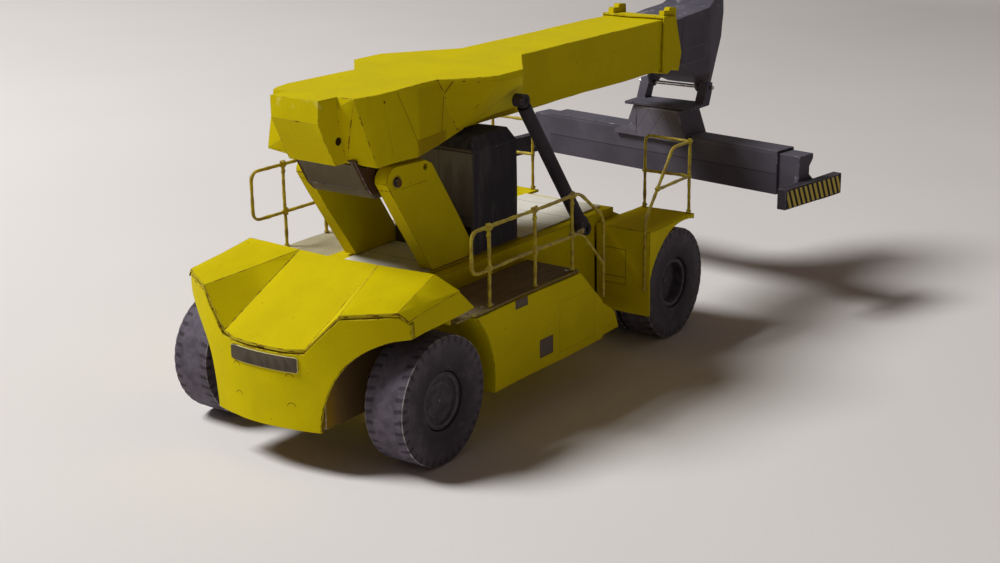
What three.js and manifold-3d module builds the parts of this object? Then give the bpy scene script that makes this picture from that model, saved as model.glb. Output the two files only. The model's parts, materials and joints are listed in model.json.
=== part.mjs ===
// A card scale model of a reach stacker: a container lifting truck with a telescopic boom.
// Millimetres. +X is forward, along the boom, +Y is to the left and +Z is up.
// Pieces are written in the truck's own frame, which has its origin on the ground under the
// rear axle, and the whole group is then moved so that the origin is under its middle.

import * as THREE from "three";
import { ConvexGeometry } from "three/addons/geometries/ConvexGeometry.js";
import { mergeVertices } from "three/addons/utils/BufferGeometryUtils.js";
import Module from "manifold-3d";

// ---------------------------------------------------------------- driving dimensions

const CARD = 0.8;             // thickness of the folded card
const SEAM = 0.1;             // between two cards that are glued face to face
const GAP = 0.3;              // between two pieces that meet at an edge
const SIDES = [["left", 1], ["right", -1]];

const WHEELBASE = 122.7;
const TYRE_R = 17.5;
const REAR_TYRE_W = 12.6;
const REAR_OUT = { left: 41.8, right: 38.8 };   // outer face of a rear tyre, from the middle
const FRONT_TYRE_W = 10.8;
const FRONT_TYRE_GAP = 1.2;   // between the two tyres of a twin
const FRONT_TRACK_OUT = 36.3;
const HUB_R = 8;              // hole in a tyre
const HUB_CLEAR = 0.2;
const STUB_R = 2.2;           // stub axle that carries a wheel
const STUB_CLEAR = 0.3;
const REAR_DISH = 1;          // how deep a hub's face is dished
const FRONT_DISH = 3.2;
const HUB_WEB = 2.4;          // from the dish to the blind end of the hub's bore

const BODY_HALF = 38;         // half width over tanks and rear skirts
const FLOOR_Z = 12.3;         // underside of chassis and tanks
const HULL_HALF = 19.5;       // half width of the middle hull
const HULL_TOP = 41.9;
const HULL_REAR = 5.3;
const HULL_FRONT = 113;
const NOSE_HALF = 12.8;       // the hull between the front wheels
const NOSE_FRONT = 136;
const PLATE_T = 0.5;          // white cover plate on the hull
const PLATE = { rear: 6, front: 110.5, left: 12.2, right: -16.4 };

const FACE_R = 55;            // plan radius of the rear face
const FACE_APEX = -27.3;      // its rearmost point
const AXLE_W = 10;            // rear axle beam, along X
const AXLE_H = 8;
const KING_Y = 23.6;          // steering pivots, from the middle
const ARCH_R = 23.5;          // arch over a rear wheel
const FRONT_ARCH_R = 20.7;

const DECK_Z = { left: 41.4, right: 36.6 };    // the deck beside the cab's door is the higher one
const DECK_REAR = 8;
const DECK_FRONT = 65;
const TANK_FRONT = 77.5;
const STEP_TOP = 23.6;        // highest edge of the step box, against the tank
const FENDER_REAR = 102.3;
const FENDER_FRONT = 129.3;
const FENDER_TOP = 39;
const FENDER_HALF = 38.9;

const TOWER_IN = 11.4;        // inner face of a boom tower
const TOWER_T = 4.3;
const TOWER_L = 21;           // along X
const PIVOT = [11.6, 69.8];   // boom pivot, x and z
const PIVOT_PIN_R = 1.2;
const SPARE_HOLE = [23.8, 71.7];   // a second, empty hole in each tower
const SPARE_HOLE_R = 0.7;
const PIN_CLEAR = 0.1;        // around a pin, in its hole
const EAR_R = 4.2;            // rounded tower top around the pivot

const BOOM_TOP = 94;
const BOOM_BOTTOM = 77.5;
const BOOM_HALF = 11;
const BOOM_REAR = -9.3;
const BOOM_FRONT = 157.5;
const BOOM_WALL = 1.1;
const SLEEVE_CLEAR = 0.4;     // between the outer and the inner boom
const BORE_REAR = 45;         // where the hollow of the outer boom starts
const INNER_REAR = 50;
const INNER_FRONT = 172;

const LIFT_Y = 22;            // lift cylinders, from the middle
const LIFT_TOP = [59.4, 84.4];
const LIFT_FOOT = [91.4, 40.3];
const BARREL_R = 2;
const ROD_R = 1.1;
const BARREL_L = 52.2;

const TILT_PIN = [185.2, 67.4]; // x and z of the pin that carries the spreader
const TILT_PIN_R = 0.65;
const SPREADER_X = 178.5;     // middle of the spreader
const SPREADER_YAW = THREE.MathUtils.degToRad(-8);
const BEAM_DEPTH = 9.6;
const BEAM_HALF = 49.5;
const BEAM_Z = [38.3, 52.8];
const ARM_WALL = 0.6;
const ARM_CLEAR = 0.25;
const ARM_OUT = 57.6;         // outer end of a telescopic arm
const END_OUT = 61;           // outer face of an end beam
const END_L = 32;
const END_Z = [37, 43.8];

const WIRE_R = 0.55;          // railing wire
const ORIGIN_X = 89.65;       // middle of the whole object

// ---------------------------------------------------------------- colours

const finish = (color, roughness = 0.75, metalness = 0) =>
  new THREE.MeshStandardMaterial({ color, roughness, metalness });
const YELLOW = finish(0xe3d60c);
const WHITE = finish(0xf2f1ec);
const GREY = finish(0x5b5766);
const DARK = finish(0x3c3b42);
const TAUPE = finish(0x8d8474);
const TYRE = finish(0x4b4852, 0.85);
const CHROME = finish(0xb9b7b0, 0.25, 1);

// ---------------------------------------------------------------- solids

const wasm = await Module();
wasm.setup();

// a closed three.js geometry as a solid that can be joined and cut
function toSolid(geometry) {
  const bare = geometry.index ? geometry.toNonIndexed() : geometry.clone();
  bare.deleteAttribute("normal");
  bare.deleteAttribute("uv");
  const merged = mergeVertices(bare, 1e-4);
  return new wasm.Manifold(new wasm.Mesh({
    numProp: 3,
    vertProperties: new Float32Array(merged.attributes.position.array),
    triVerts: new Uint32Array(merged.index.array),
  }));
}

function toGeometry(solid) {
  const mesh = solid.getMesh();
  const geometry = new THREE.BufferGeometry();
  geometry.setAttribute("position", new THREE.BufferAttribute(new Float32Array(mesh.vertProperties), 3));
  geometry.setIndex(new THREE.BufferAttribute(new Uint32Array(mesh.triVerts), 1));
  return geometry;
}

const join = (...geometries) =>
  toGeometry(geometries.map(toSolid).reduce((whole, next) => whole.add(next)));
const cut = (body, ...tools) =>
  toGeometry(tools.map(toSolid).reduce((whole, tool) => whole.subtract(tool), toSolid(body)));
const common = (one, other) => toGeometry(toSolid(one).intersect(toSolid(other)));

// a box between two corners
function block(x0, x1, y0, y1, z0, z1) {
  const box = new THREE.BoxGeometry(x1 - x0, y1 - y0, z1 - z0);
  return box.translate((x0 + x1) / 2, (y0 + y1) / 2, (z0 + z1) / 2);
}

const outline = (points) => new THREE.Shape(points.map(([a, b]) => new THREE.Vector2(a, b)));

// a side view, in x and z, carried across from y0 to y1
function sideCut(shape, y0, y1, curveSegments = 24) {
  const solid = new THREE.ExtrudeGeometry(shape, { depth: y1 - y0, bevelEnabled: false, curveSegments });
  return solid.rotateX(Math.PI / 2).translate(0, y1, 0);
}

// a rear view, in y and z, carried forward from x0 to x1
function crossCut(shape, x0, x1, curveSegments = 24) {
  const solid = new THREE.ExtrudeGeometry(shape, { depth: x1 - x0, bevelEnabled: false, curveSegments });
  return solid.rotateX(Math.PI / 2).rotateZ(Math.PI / 2).translate(x0, 0, 0);
}

// a plan view, in x and y, carried up from z0 to z1
function planCut(shape, z0, z1, curveSegments = 24) {
  const solid = new THREE.ExtrudeGeometry(shape, { depth: z1 - z0, bevelEnabled: false, curveSegments });
  return solid.translate(0, 0, z0);
}

// a round bar along Y between y0 and y1
function barY(radius, x, z, y0, y1, sides = 24) {
  return new THREE.CylinderGeometry(radius, radius, y1 - y0, sides).translate(x, (y0 + y1) / 2, z);
}

// the same piece on the other side: a side view is symmetric, so only y0 and y1 swap
const across = (side, near, far) => (side > 0 ? [near, far] : [-far, -near]);

// a sheet of card folded over a net of triangles, thickened downwards
function foldedSheet(points, triangles, thickness) {
  const upper = triangles.map((t) => t.map((i) => points[i]));
  const faces = [];
  const edges = new Map();
  triangles.forEach((t, n) => {
    const low = upper[n].map(([x, y, z]) => [x, y, z - thickness]);
    faces.push(upper[n], [low[0], low[2], low[1]]);
    t.forEach((a, k) => {
      const b = t[(k + 1) % 3];
      if (edges.has(`${b},${a}`)) edges.delete(`${b},${a}`);
      else edges.set(`${a},${b}`, [a, b]);
    });
  });
  for (const [a, b] of edges.values()) {
    const [p, q] = [points[a], points[b]];
    const [pLow, qLow] = [p, q].map(([x, y, z]) => [x, y, z - thickness]);
    faces.push([q, p, pLow], [q, pLow, qLow]);
  }
  const geometry = new THREE.BufferGeometry();
  geometry.setAttribute("position", new THREE.Float32BufferAttribute(faces.flat(2), 3));
  return geometry;
}

// wire bent through points, with rounded corners
function wire(points, bend = 2.2) {
  const path = new THREE.CurvePath();
  const corner = points.map((p) => new THREE.Vector3(...p));
  let from = corner[0];
  for (let i = 1; i < corner.length - 1; i += 1) {
    const back = corner[i].clone().sub(corner[i - 1]);
    const ahead = corner[i + 1].clone().sub(corner[i]);
    const trim = Math.min(bend, back.length() * 0.45, ahead.length() * 0.45);
    const enter = corner[i].clone().addScaledVector(back.normalize(), -trim);
    const leave = corner[i].clone().addScaledVector(ahead.normalize(), trim);
    path.add(new THREE.LineCurve3(from, enter));
    path.add(new THREE.QuadraticBezierCurve3(enter, corner[i], leave));
    from = leave;
  }
  path.add(new THREE.LineCurve3(from, corner[corner.length - 1]));
  const section = new THREE.Shape().absarc(0, 0, WIRE_R, 0, 2 * Math.PI);
  const steps = Math.max(1, (corner.length - 2) * 8);
  return new THREE.ExtrudeGeometry(section, { steps, extrudePath: path, curveSegments: 3, bevelEnabled: false });
}

const model = new THREE.Group();
const truck = new THREE.Group();
truck.position.x = -ORIGIN_X;
model.add(truck);

function add(name, geometry, material, parent = truck) {
  const mesh = new THREE.Mesh(geometry, material);
  mesh.name = name;
  parent.add(mesh);
  return mesh;
}

// ---------------------------------------------------------------- chassis

// the rear box is notched from below for the axle beam
const notch = () => block(-AXLE_W / 2 - GAP, AXLE_W / 2 + GAP, -BODY_HALF, BODY_HALF, 0,
  TYRE_R + AXLE_H / 2 + GAP);

function frameHull() {
  const wide = block(HULL_REAR, FENDER_REAR - GAP, -HULL_HALF, HULL_HALF, FLOOR_Z, HULL_TOP);
  const shelf = block(FENDER_REAR - 2, HULL_FRONT, -HULL_HALF, HULL_HALF, FENDER_TOP - 1, HULL_TOP);
  const nose = sideCut(outline([
    [FENDER_REAR - 2, FLOOR_Z + 1], [NOSE_FRONT - 6, FLOOR_Z + 1], [NOSE_FRONT, FLOOR_Z + 6],
    [NOSE_FRONT, FENDER_TOP - 7], [HULL_FRONT + 3, HULL_TOP - 1.5], [HULL_FRONT - 2, HULL_TOP - 1.5],
    [FENDER_REAR - 2, HULL_TOP - 1.5]]), -NOSE_HALF, NOSE_HALF);
  const axleTunnel = barY(STUB_R + STUB_CLEAR, WHEELBASE, TYRE_R, -NOSE_HALF - 1, NOSE_HALF + 1);
  const body = join(wide, shelf, nose);
  return cut(body, axleTunnel);
}
add("frame_hull", frameHull(), YELLOW);

add("hull_cover", block(PLATE.rear, PLATE.front, PLATE.right, PLATE.left, HULL_TOP + SEAM,
  HULL_TOP + SEAM + PLATE_T), WHITE);
const BASE_Z = HULL_TOP + 2 * SEAM + PLATE_T;   // where towers and cab stand

// ---------------------------------------------------------------- rear body

// corners of the folded hood, on the left side
const SLOPE_FOOT = [-24.7, 14, 34];
const FENDER_TIP = [-22, 23.4, 44];
const FENDER_EDGE = [-14.1, 35.8, 44.5];
const SKIRT_REAR = [-12.7, BODY_HALF, 42.3];
const SLOPE_HEAD = [5.35, 13.8, 48.75];
const FENDER_HEAD = [5.6, 32.1, 49.25];
const SKIRT_FRONT = [8.4, BODY_HALF, 45.2];
const SKIRT_TIP = [14.6, BODY_HALF, 38.9];
const SKIRT_LOW_REAR = [-12.8, BODY_HALF, 37.3];

const CROWN = [9, 4, -4, -9];            // points along the slope's curved foot
const faceX = (y) => FACE_APEX + FACE_R - Math.sqrt(FACE_R ** 2 - y ** 2);
const slopeZ = (x) => SLOPE_FOOT[2]
  + (SLOPE_HEAD[2] - SLOPE_FOOT[2]) * (x - SLOPE_FOOT[0]) / (SLOPE_HEAD[0] - SLOPE_FOOT[0]);
const CROWN_LIFT = 0.9;                  // its middle stands this much above the slope
const crownZ = (y) => slopeZ(faceX(y)) + CROWN_LIFT * (1 - (y / SLOPE_FOOT[1]) ** 2);

function rearHood() {
  const mirror = ([x, y, z]) => [x, -y, z];
  const half = [SLOPE_FOOT, FENDER_TIP, FENDER_EDGE, SKIRT_REAR, SLOPE_HEAD, FENDER_HEAD, SKIRT_FRONT];
  const crown = CROWN.map((y) => [faceX(y), y, crownZ(y)]);
  const points = [...half, ...half.map(mirror), ...crown];
  // each fold facing up, by the right hand
  const left = [[0, 4, 1], [1, 4, 5], [1, 5, 2], [2, 5, 6], [2, 6, 3]];
  const right = left.map(([a, b, c]) => [a + 7, c + 7, b + 7]);
  const middle = [[0, 14, 4], [14, 15, 4], [15, 11, 4], [15, 16, 11], [16, 17, 11], [17, 7, 11]];
  const sheet = foldedSheet(points, [...left, ...right, ...middle], CARD);
  const behindFace = faceX(BODY_HALF) + CARD * 1.4 + GAP;
  const skirts = SIDES.map(([, side]) => sideCut(outline([
    [behindFace, SKIRT_REAR[2] - CARD / 2], [behindFace, SKIRT_LOW_REAR[2]],
    [SKIRT_TIP[0], SKIRT_TIP[2]], [SKIRT_FRONT[0], SKIRT_FRONT[2] - CARD / 2]]),
    ...across(side, BODY_HALF - CARD, BODY_HALF)));
  const walls = SIDES.map(([, side]) => crossCut(outline([
    [side * 18.4, DECK_Z.right + GAP], [side * (BODY_HALF - CARD / 2), DECK_Z.right + GAP],
    [side * (BODY_HALF - CARD / 2), SKIRT_FRONT[2] - CARD],
    [side * FENDER_HEAD[1], FENDER_HEAD[2] - CARD], [side * 18.4, SLOPE_HEAD[2] - CARD / 2]]),
    SLOPE_HEAD[0] - 2 * CARD, SLOPE_HEAD[0] - CARD));
  return join(sheet, ...skirts, ...walls);
}
add("rear_hood", rearHood(), YELLOW);

function counterweightBox() {
  const rear = SLOPE_FOOT[0] + 2.6;
  const front = HULL_REAR - GAP;
  const under = CARD + SEAM + 0.15;
  const body = sideCut(outline([
    [rear, FLOOR_Z], [front, FLOOR_Z], [front, slopeZ(front) - under], [rear, slopeZ(rear) - under]]),
    -17.6, 17.6);
  return cut(body, notch());
}
add("counterweight_box", counterweightBox(), YELLOW);

// the rear face is a flat sheet with two arches, bent round an upright cylinder
function counterweightFace() {
  const seam = CARD + 0.35;
  const face = new THREE.Shape();
  face.moveTo(-17.8, 12);
  face.lineTo(17.8, 12);
  face.absellipse(BODY_HALF, 12, BODY_HALF - 17.8, SKIRT_LOW_REAR[2] - 12, Math.PI, Math.PI / 2, true);
  face.lineTo(BODY_HALF, SKIRT_REAR[2] - seam);
  face.lineTo(FENDER_EDGE[1], FENDER_EDGE[2] - seam);
  face.lineTo(FENDER_TIP[1], FENDER_TIP[2] - seam);
  face.lineTo(SLOPE_FOOT[1], SLOPE_FOOT[2] - seam);
  for (const y of CROWN) face.lineTo(y, crownZ(y) - seam);
  face.lineTo(-SLOPE_FOOT[1], SLOPE_FOOT[2] - seam);
  face.lineTo(-FENDER_TIP[1], FENDER_TIP[2] - seam);
  face.lineTo(-FENDER_EDGE[1], FENDER_EDGE[2] - seam);
  face.lineTo(-BODY_HALF, SKIRT_REAR[2] - seam);
  face.lineTo(-BODY_HALF, SKIRT_LOW_REAR[2]);
  face.absellipse(-BODY_HALF, 12, BODY_HALF - 17.8, SKIRT_LOW_REAR[2] - 12, Math.PI / 2, 0, true);
  const flat = crossCut(face, FACE_APEX - 1, 5);
  const drum = (radius) => new THREE.CylinderGeometry(radius, radius, 60, 120)
    .rotateX(Math.PI / 2).translate(FACE_APEX + FACE_R, 0, 30);
  return common(flat, cut(drum(FACE_R), drum(FACE_R - CARD)));
}
add("counterweight_face", counterweightFace(), YELLOW);

function namePlate() {
  const [right, left, low, high, round] = [-12.7, 10.4, 27.7, 32, 0.9];
  const plate = new THREE.Shape();
  plate.moveTo(right + round, low);
  plate.lineTo(left - round, low);
  plate.absarc(left - round, low + round, round, -Math.PI / 2, 0);
  plate.lineTo(left, high - round);
  plate.absarc(left - round, high - round, round, 0, Math.PI / 2);
  plate.lineTo(right + round, high);
  plate.absarc(right + round, high - round, round, Math.PI / 2, Math.PI);
  plate.lineTo(right, low + round);
  plate.absarc(right + round, low + round, round, Math.PI, 1.5 * Math.PI);
  const flat = crossCut(plate, FACE_APEX - 3, FACE_APEX + 3, 6);
  const drum = (radius) => new THREE.CylinderGeometry(radius, radius, 60, 120)
    .rotateX(Math.PI / 2).translate(FACE_APEX + FACE_R, 0, 30);
  return common(flat, cut(drum(FACE_R + SEAM + 0.3), drum(FACE_R + SEAM)));
}
add("name_plate", namePlate(), DARK);

// ---------------------------------------------------------------- sides, fenders and steps

const TANK_IN = HULL_HALF + GAP;
for (const [name, side] of SIDES) {
  const tankTop = DECK_Z[name] - CARD - SEAM;
  const tankRear = SKIRT_TIP[0] + GAP;         // just ahead of the hood's skirt
  const tank = new THREE.Shape();
  tank.moveTo(Math.sqrt(ARCH_R ** 2 - (FLOOR_Z - TYRE_R) ** 2), FLOOR_Z);
  tank.lineTo(TANK_FRONT, FLOOR_Z);
  tank.lineTo(TANK_FRONT, STEP_TOP + 0.5);
  tank.lineTo(DECK_FRONT, tankTop);
  tank.lineTo(tankRear, tankTop);
  tank.absarc(0, TYRE_R, ARCH_R, Math.acos(tankRear / ARCH_R), Math.asin((FLOOR_Z - TYRE_R) / ARCH_R), true);
  add(`side_tank_${name}`, sideCut(tank, ...across(side, TANK_IN, BODY_HALF)), YELLOW);
  // the deck is notched where the hood's skirt comes down
  const deckOut = side * (BODY_HALF - GAP);
  const deckNotch = side * (BODY_HALF - CARD - GAP);
  add(`side_deck_${name}`, planCut(outline([
    [DECK_REAR, side * TANK_IN], [DECK_FRONT, side * TANK_IN], [DECK_FRONT, deckOut], [tankRear, deckOut],
    [tankRear, deckNotch], [DECK_REAR, deckNotch]]), DECK_Z[name] - CARD, DECK_Z[name]), TAUPE);

  const step = outline([
    [TANK_FRONT + SEAM, FLOOR_Z + 0.4], [TANK_FRONT + 9.7, FLOOR_Z + 0.8], [TANK_FRONT + 7.6, STEP_TOP - 5],
    [TANK_FRONT + SEAM, STEP_TOP]]);
  add(`step_box_${name}`, sideCut(step, ...across(side, 28, BODY_HALF - 0.5)), YELLOW);

  // a fender is folded from a rear panel, a flat top and an arched side
  const rearPanel = block(FENDER_REAR, FENDER_REAR + CARD, ...across(side, TANK_IN, FENDER_HALF),
    FLOOR_Z, FENDER_TOP);
  const top = block(FENDER_REAR, FENDER_FRONT, ...across(side, TANK_IN, FENDER_HALF),
    FENDER_TOP - CARD, FENDER_TOP);
  const arched = new THREE.Shape();
  const archFrom = Math.acos((FENDER_REAR + CARD / 2 - WHEELBASE) / FRONT_ARCH_R);
  const archTo = Math.acos((FENDER_FRONT - WHEELBASE) / FRONT_ARCH_R);
  arched.moveTo(FENDER_REAR, FENDER_TOP);
  arched.lineTo(FENDER_REAR, FLOOR_Z);
  arched.lineTo(FENDER_REAR + CARD / 2, FLOOR_Z);
  arched.absarc(WHEELBASE, TYRE_R, FRONT_ARCH_R, archFrom, archTo, true);
  arched.lineTo(FENDER_FRONT, FENDER_TOP);
  const cheek = sideCut(arched, ...across(side, FENDER_HALF - CARD, FENDER_HALF));
  add(`front_fender_${name}`, join(rearPanel, top, cheek), YELLOW);
}

// ---------------------------------------------------------------- boom towers and cab

const TOWER_FOOT = 25.7;                       // rear foot of a tower
const TOWER_TOP = 73.7;

function tower(side) {
  const shape = new THREE.Shape();
  const rearTop = [PIVOT[0] - EAR_R, PIVOT[1]];
  const slope = (rearTop[0] - TOWER_FOOT) / (rearTop[1] - BASE_Z);
  shape.moveTo(TOWER_FOOT, BASE_Z);
  shape.lineTo(TOWER_FOOT + TOWER_L, BASE_Z);
  shape.lineTo(TOWER_FOOT + TOWER_L + slope * (TOWER_TOP - BASE_Z - 1.5), TOWER_TOP - 1.5);
  shape.lineTo(TOWER_FOOT + TOWER_L + slope * (TOWER_TOP - BASE_Z) - 2, TOWER_TOP);
  shape.lineTo(PIVOT[0], PIVOT[1] + EAR_R);
  shape.absarc(...PIVOT, EAR_R, Math.PI / 2, Math.PI);
  const body = sideCut(shape, ...across(side, TOWER_IN, TOWER_IN + TOWER_T));
  const through = across(side, TOWER_IN - 1, TOWER_IN + TOWER_T + 1);
  return cut(body, barY(PIVOT_PIN_R + PIN_CLEAR, ...PIVOT, ...through),
    barY(SPARE_HOLE_R, ...SPARE_HOLE, ...through, 16));
}

const CAB = { rear: 43, front: 64.4, left: 13, right: -17, top: 75.8 };
function cab() {
  const { rear, front, left, right, top } = CAB;
  const corners = [];
  for (const [x0, x1, y0, y1, z] of [
    [rear, front, right, left, BASE_Z], [rear, front, right, left, top - 4],
    [rear + 2.2, front - 2.6, right + 1.6, left - 1.6, top]]) {
    for (const x of [x0, x1]) for (const y of [y0, y1]) corners.push(new THREE.Vector3(x, y, z));
  }
  return new ConvexGeometry(corners);
}

for (const [name, side] of SIDES) add(`boom_tower_${name}`, tower(side), YELLOW);
// the cab's back meets the towers' feet, so it is cut clear of them
add("cab", cut(cab(), ...SIDES.map(([, side]) => block(CAB.rear - 1, TOWER_FOOT + TOWER_L + GAP,
  ...across(side, TOWER_IN - GAP, TOWER_IN + TOWER_T + GAP), BASE_Z - 1, BASE_Z + 8))), DARK);

// ---------------------------------------------------------------- axles and wheels

function tyre(width, halfChamfer = 1.6) {
  const [r, w, c] = [TYRE_R, width / 2, halfChamfer];
  const profile = [[HUB_R, -w + 0.6], [HUB_R + 1.4, -w], [r - c - 0.6, -w], [r - 0.3, -w + c], [r, -w + c + 1.2],
    [r, w - c - 1.2], [r - 0.3, w - c], [r - c - 0.6, w], [HUB_R + 1.4, w], [HUB_R, w - 0.6], [HUB_R, -w + 0.6]];
  return new THREE.LatheGeometry(profile.map(([a, b]) => new THREE.Vector2(a, b)), 48);
}
// a hub is a drum with a dished outer face, turned about the wheel's axis with its face at +Y
function hub(width, dish, boss = STUB_R + STUB_CLEAR) {
  const [r, w] = [HUB_R - HUB_CLEAR, width / 2];
  const profile = [[boss, -w + 0.5], [r, -w + 0.5], [r, w - 0.5], [r - 1.2, w - 0.5], [r - 2.4, w - 0.5 - dish],
    [3.2, w - 0.5 - dish], [3, w - 0.2 - dish * 0.6], [0, w - 0.2 - dish * 0.6], [0, w - HUB_WEB - dish],
    [boss, w - HUB_WEB - dish], [boss, -w + 0.5]];
  return new THREE.LatheGeometry(profile.map(([a, b]) => new THREE.Vector2(a, b)), 36);
}

add("rear_axle", block(-AXLE_W / 2, AXLE_W / 2, -KING_Y + 2.9, KING_Y - 2.9, TYRE_R - AXLE_H / 2,
  TYRE_R + AXLE_H / 2), DARK);

const FRONT_HUB_W = 2 * FRONT_TYRE_W + FRONT_TYRE_GAP;
const frontEnd = FRONT_TRACK_OUT - HUB_WEB - FRONT_DISH - 2 * GAP;
add("front_axle", barY(STUB_R, WHEELBASE, TYRE_R, -frontEnd, frontEnd), DARK);

for (const [name, side] of SIDES) {
  const turn = side > 0 ? 0 : Math.PI;          // a right wheel is a left one turned about Z
  // the knuckle is an upright block with its stub axle
  const knuckle = join(
    block(-2.5, 2.5, ...across(side, KING_Y - 2.1, KING_Y + 1.6), TYRE_R - 5.4, TYRE_R + 5.4),
    barY(STUB_R, 0, TYRE_R, ...across(side, KING_Y, REAR_OUT[name] - HUB_WEB - REAR_DISH - 2 * GAP)));
  add(`knuckle_${name}`, knuckle, DARK);

  const rearY = side * (REAR_OUT[name] - REAR_TYRE_W / 2);
  const rearTyre = add(`rear_tyre_${name}`, tyre(REAR_TYRE_W), TYRE);
  rearTyre.position.set(0, rearY, TYRE_R);
  rearTyre.rotation.z = turn;
  const rearHub = add(`rear_hub_${name}`, hub(REAR_TYRE_W, REAR_DISH), GREY);
  rearHub.position.set(0, rearY, TYRE_R);
  rearHub.rotation.z = turn;

  const outer = add(`front_tyre_outer_${name}`, tyre(FRONT_TYRE_W), TYRE);
  outer.position.set(WHEELBASE, side * (FRONT_TRACK_OUT - FRONT_TYRE_W / 2), TYRE_R);
  const inner = add(`front_tyre_inner_${name}`, tyre(FRONT_TYRE_W), TYRE);
  inner.position.set(WHEELBASE, side * (FRONT_TRACK_OUT - FRONT_TYRE_W * 1.5 - FRONT_TYRE_GAP), TYRE_R);
  const frontHub = add(`front_hub_${name}`, hub(FRONT_HUB_W, FRONT_DISH), GREY);
  frontHub.position.set(WHEELBASE, side * (FRONT_TRACK_OUT - FRONT_HUB_W / 2), TYRE_R);
  frontHub.rotation.z = turn;
}

// ---------------------------------------------------------------- boom

const both = (points) => points.flatMap(([x, y, z]) => [new THREE.Vector3(x, y, z), new THREE.Vector3(x, -y, z)]);
const faceted = (points) => new ConvexGeometry(both(points));

function boomOuter() {
  const heel = faceted([
    [BOOM_REAR, 8.2, BOOM_TOP], [BOOM_REAR, 8, 88], [-3.3, 8, 76.2], [14, 8, 76.2], [14, 8.4, BOOM_TOP]]);
  const shoulderHalf = [
    [-2.1, 13.8, BOOM_TOP], [0.6, 14.7, BOOM_TOP], [5.5, 15.6, BOOM_TOP], [13, 15.5, BOOM_TOP],
    [36, 14.3, BOOM_TOP], [1, 8.2, 76.2], [4.9, 15, 74.8], [21, 15.6, 74.8], [26, 12.6, 76.6], [46, 12, BOOM_BOTTOM]];
  // on the left it is folded out to a corner behind the heel
  const shoulder = new ConvexGeometry([...both(shoulderHalf), new THREE.Vector3(-4.2, 14.6, 78.5)]);
  const wings = faceted([
    [31, 14.3, BOOM_TOP], [39, 18, BOOM_TOP], [44, 25.2, BOOM_TOP], [56, 25.2, BOOM_TOP], [68, 16, BOOM_TOP],
    [76, BOOM_HALF, BOOM_TOP], [44, 25.2, 92], [56, 25.2, 92], [42, 12, BOOM_BOTTOM], [60, 17, 84.5], [76, BOOM_HALF, 80]]);
  const beam = block(30, BOOM_FRONT, -BOOM_HALF, BOOM_HALF, BOOM_BOTTOM, BOOM_TOP);
  const bore = block(BORE_REAR, BOOM_FRONT + 5, -BOOM_HALF + BOOM_WALL, BOOM_HALF - BOOM_WALL,
    BOOM_BOTTOM + BOOM_WALL, BOOM_TOP - BOOM_WALL);
  return cut(join(heel, shoulder, wings, beam), bore);
}

// the foot hangs from the heel between the towers and turns on the pivot pin
function boomFoot() {
  const half = TOWER_IN - 0.6;
  const shape = new THREE.Shape();
  shape.moveTo(0.6, 77);
  shape.lineTo(6, 68);
  shape.lineTo(8.6, 65.4);
  shape.lineTo(17, 65.4);
  shape.lineTo(20.6, 69);
  shape.lineTo(20.6, 77);
  const underBoom = boomOuter().translate(0, 0, -GAP);
  return cut(sideCut(shape, -half, half), underBoom, barY(PIVOT_PIN_R + PIN_CLEAR, ...PIVOT, -half - 1, half + 1));
}

function boomCollar() {
  const half = BOOM_HALF + 0.9;
  const shape = outline([
    [155.5, BOOM_TOP + 0.9], [163.5, BOOM_TOP + 0.4], [167.6, 82], [165.6, 76], [162, 77.2], [158.4, 75.8], [155.5, 76.6]]);
  const ring = sideCut(shape, -half, half);
  const lugs = SIDES.map(([, side]) => sideCut(outline([
    [157, BOOM_TOP], [157.6, 96.6], [160.4, 96.2], [161.2, 97.4], [165.2, 97], [165.6, BOOM_TOP - 1], [163, BOOM_TOP - 2]]),
    ...across(side, BOOM_HALF - 2.4, BOOM_HALF - 0.2)));
  const sleeve = block(150, BOOM_FRONT + GAP, -BOOM_HALF - GAP, BOOM_HALF + GAP, BOOM_BOTTOM - GAP, BOOM_TOP + GAP);
  const mouth = block(150, 175, -BOOM_HALF + BOOM_WALL, BOOM_HALF - BOOM_WALL, BOOM_BOTTOM + BOOM_WALL,
    BOOM_TOP - BOOM_WALL);
  return cut(join(ring, ...lugs), sleeve, mouth);
}

const INNER_HALF = BOOM_HALF - BOOM_WALL - SLEEVE_CLEAR;
const INNER_Z = [BOOM_BOTTOM + BOOM_WALL + SLEEVE_CLEAR, BOOM_TOP - BOOM_WALL - SLEEVE_CLEAR];
function boomInner() {
  const [low, high] = INNER_Z;
  const tube = block(INNER_REAR, INNER_FRONT, -INNER_HALF, INNER_HALF, low, high);
  return cut(tube, block(INNER_REAR - 1, INNER_FRONT - 2, -INNER_HALF + CARD, INNER_HALF - CARD,
    low + CARD, high - CARD));
}

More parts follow.
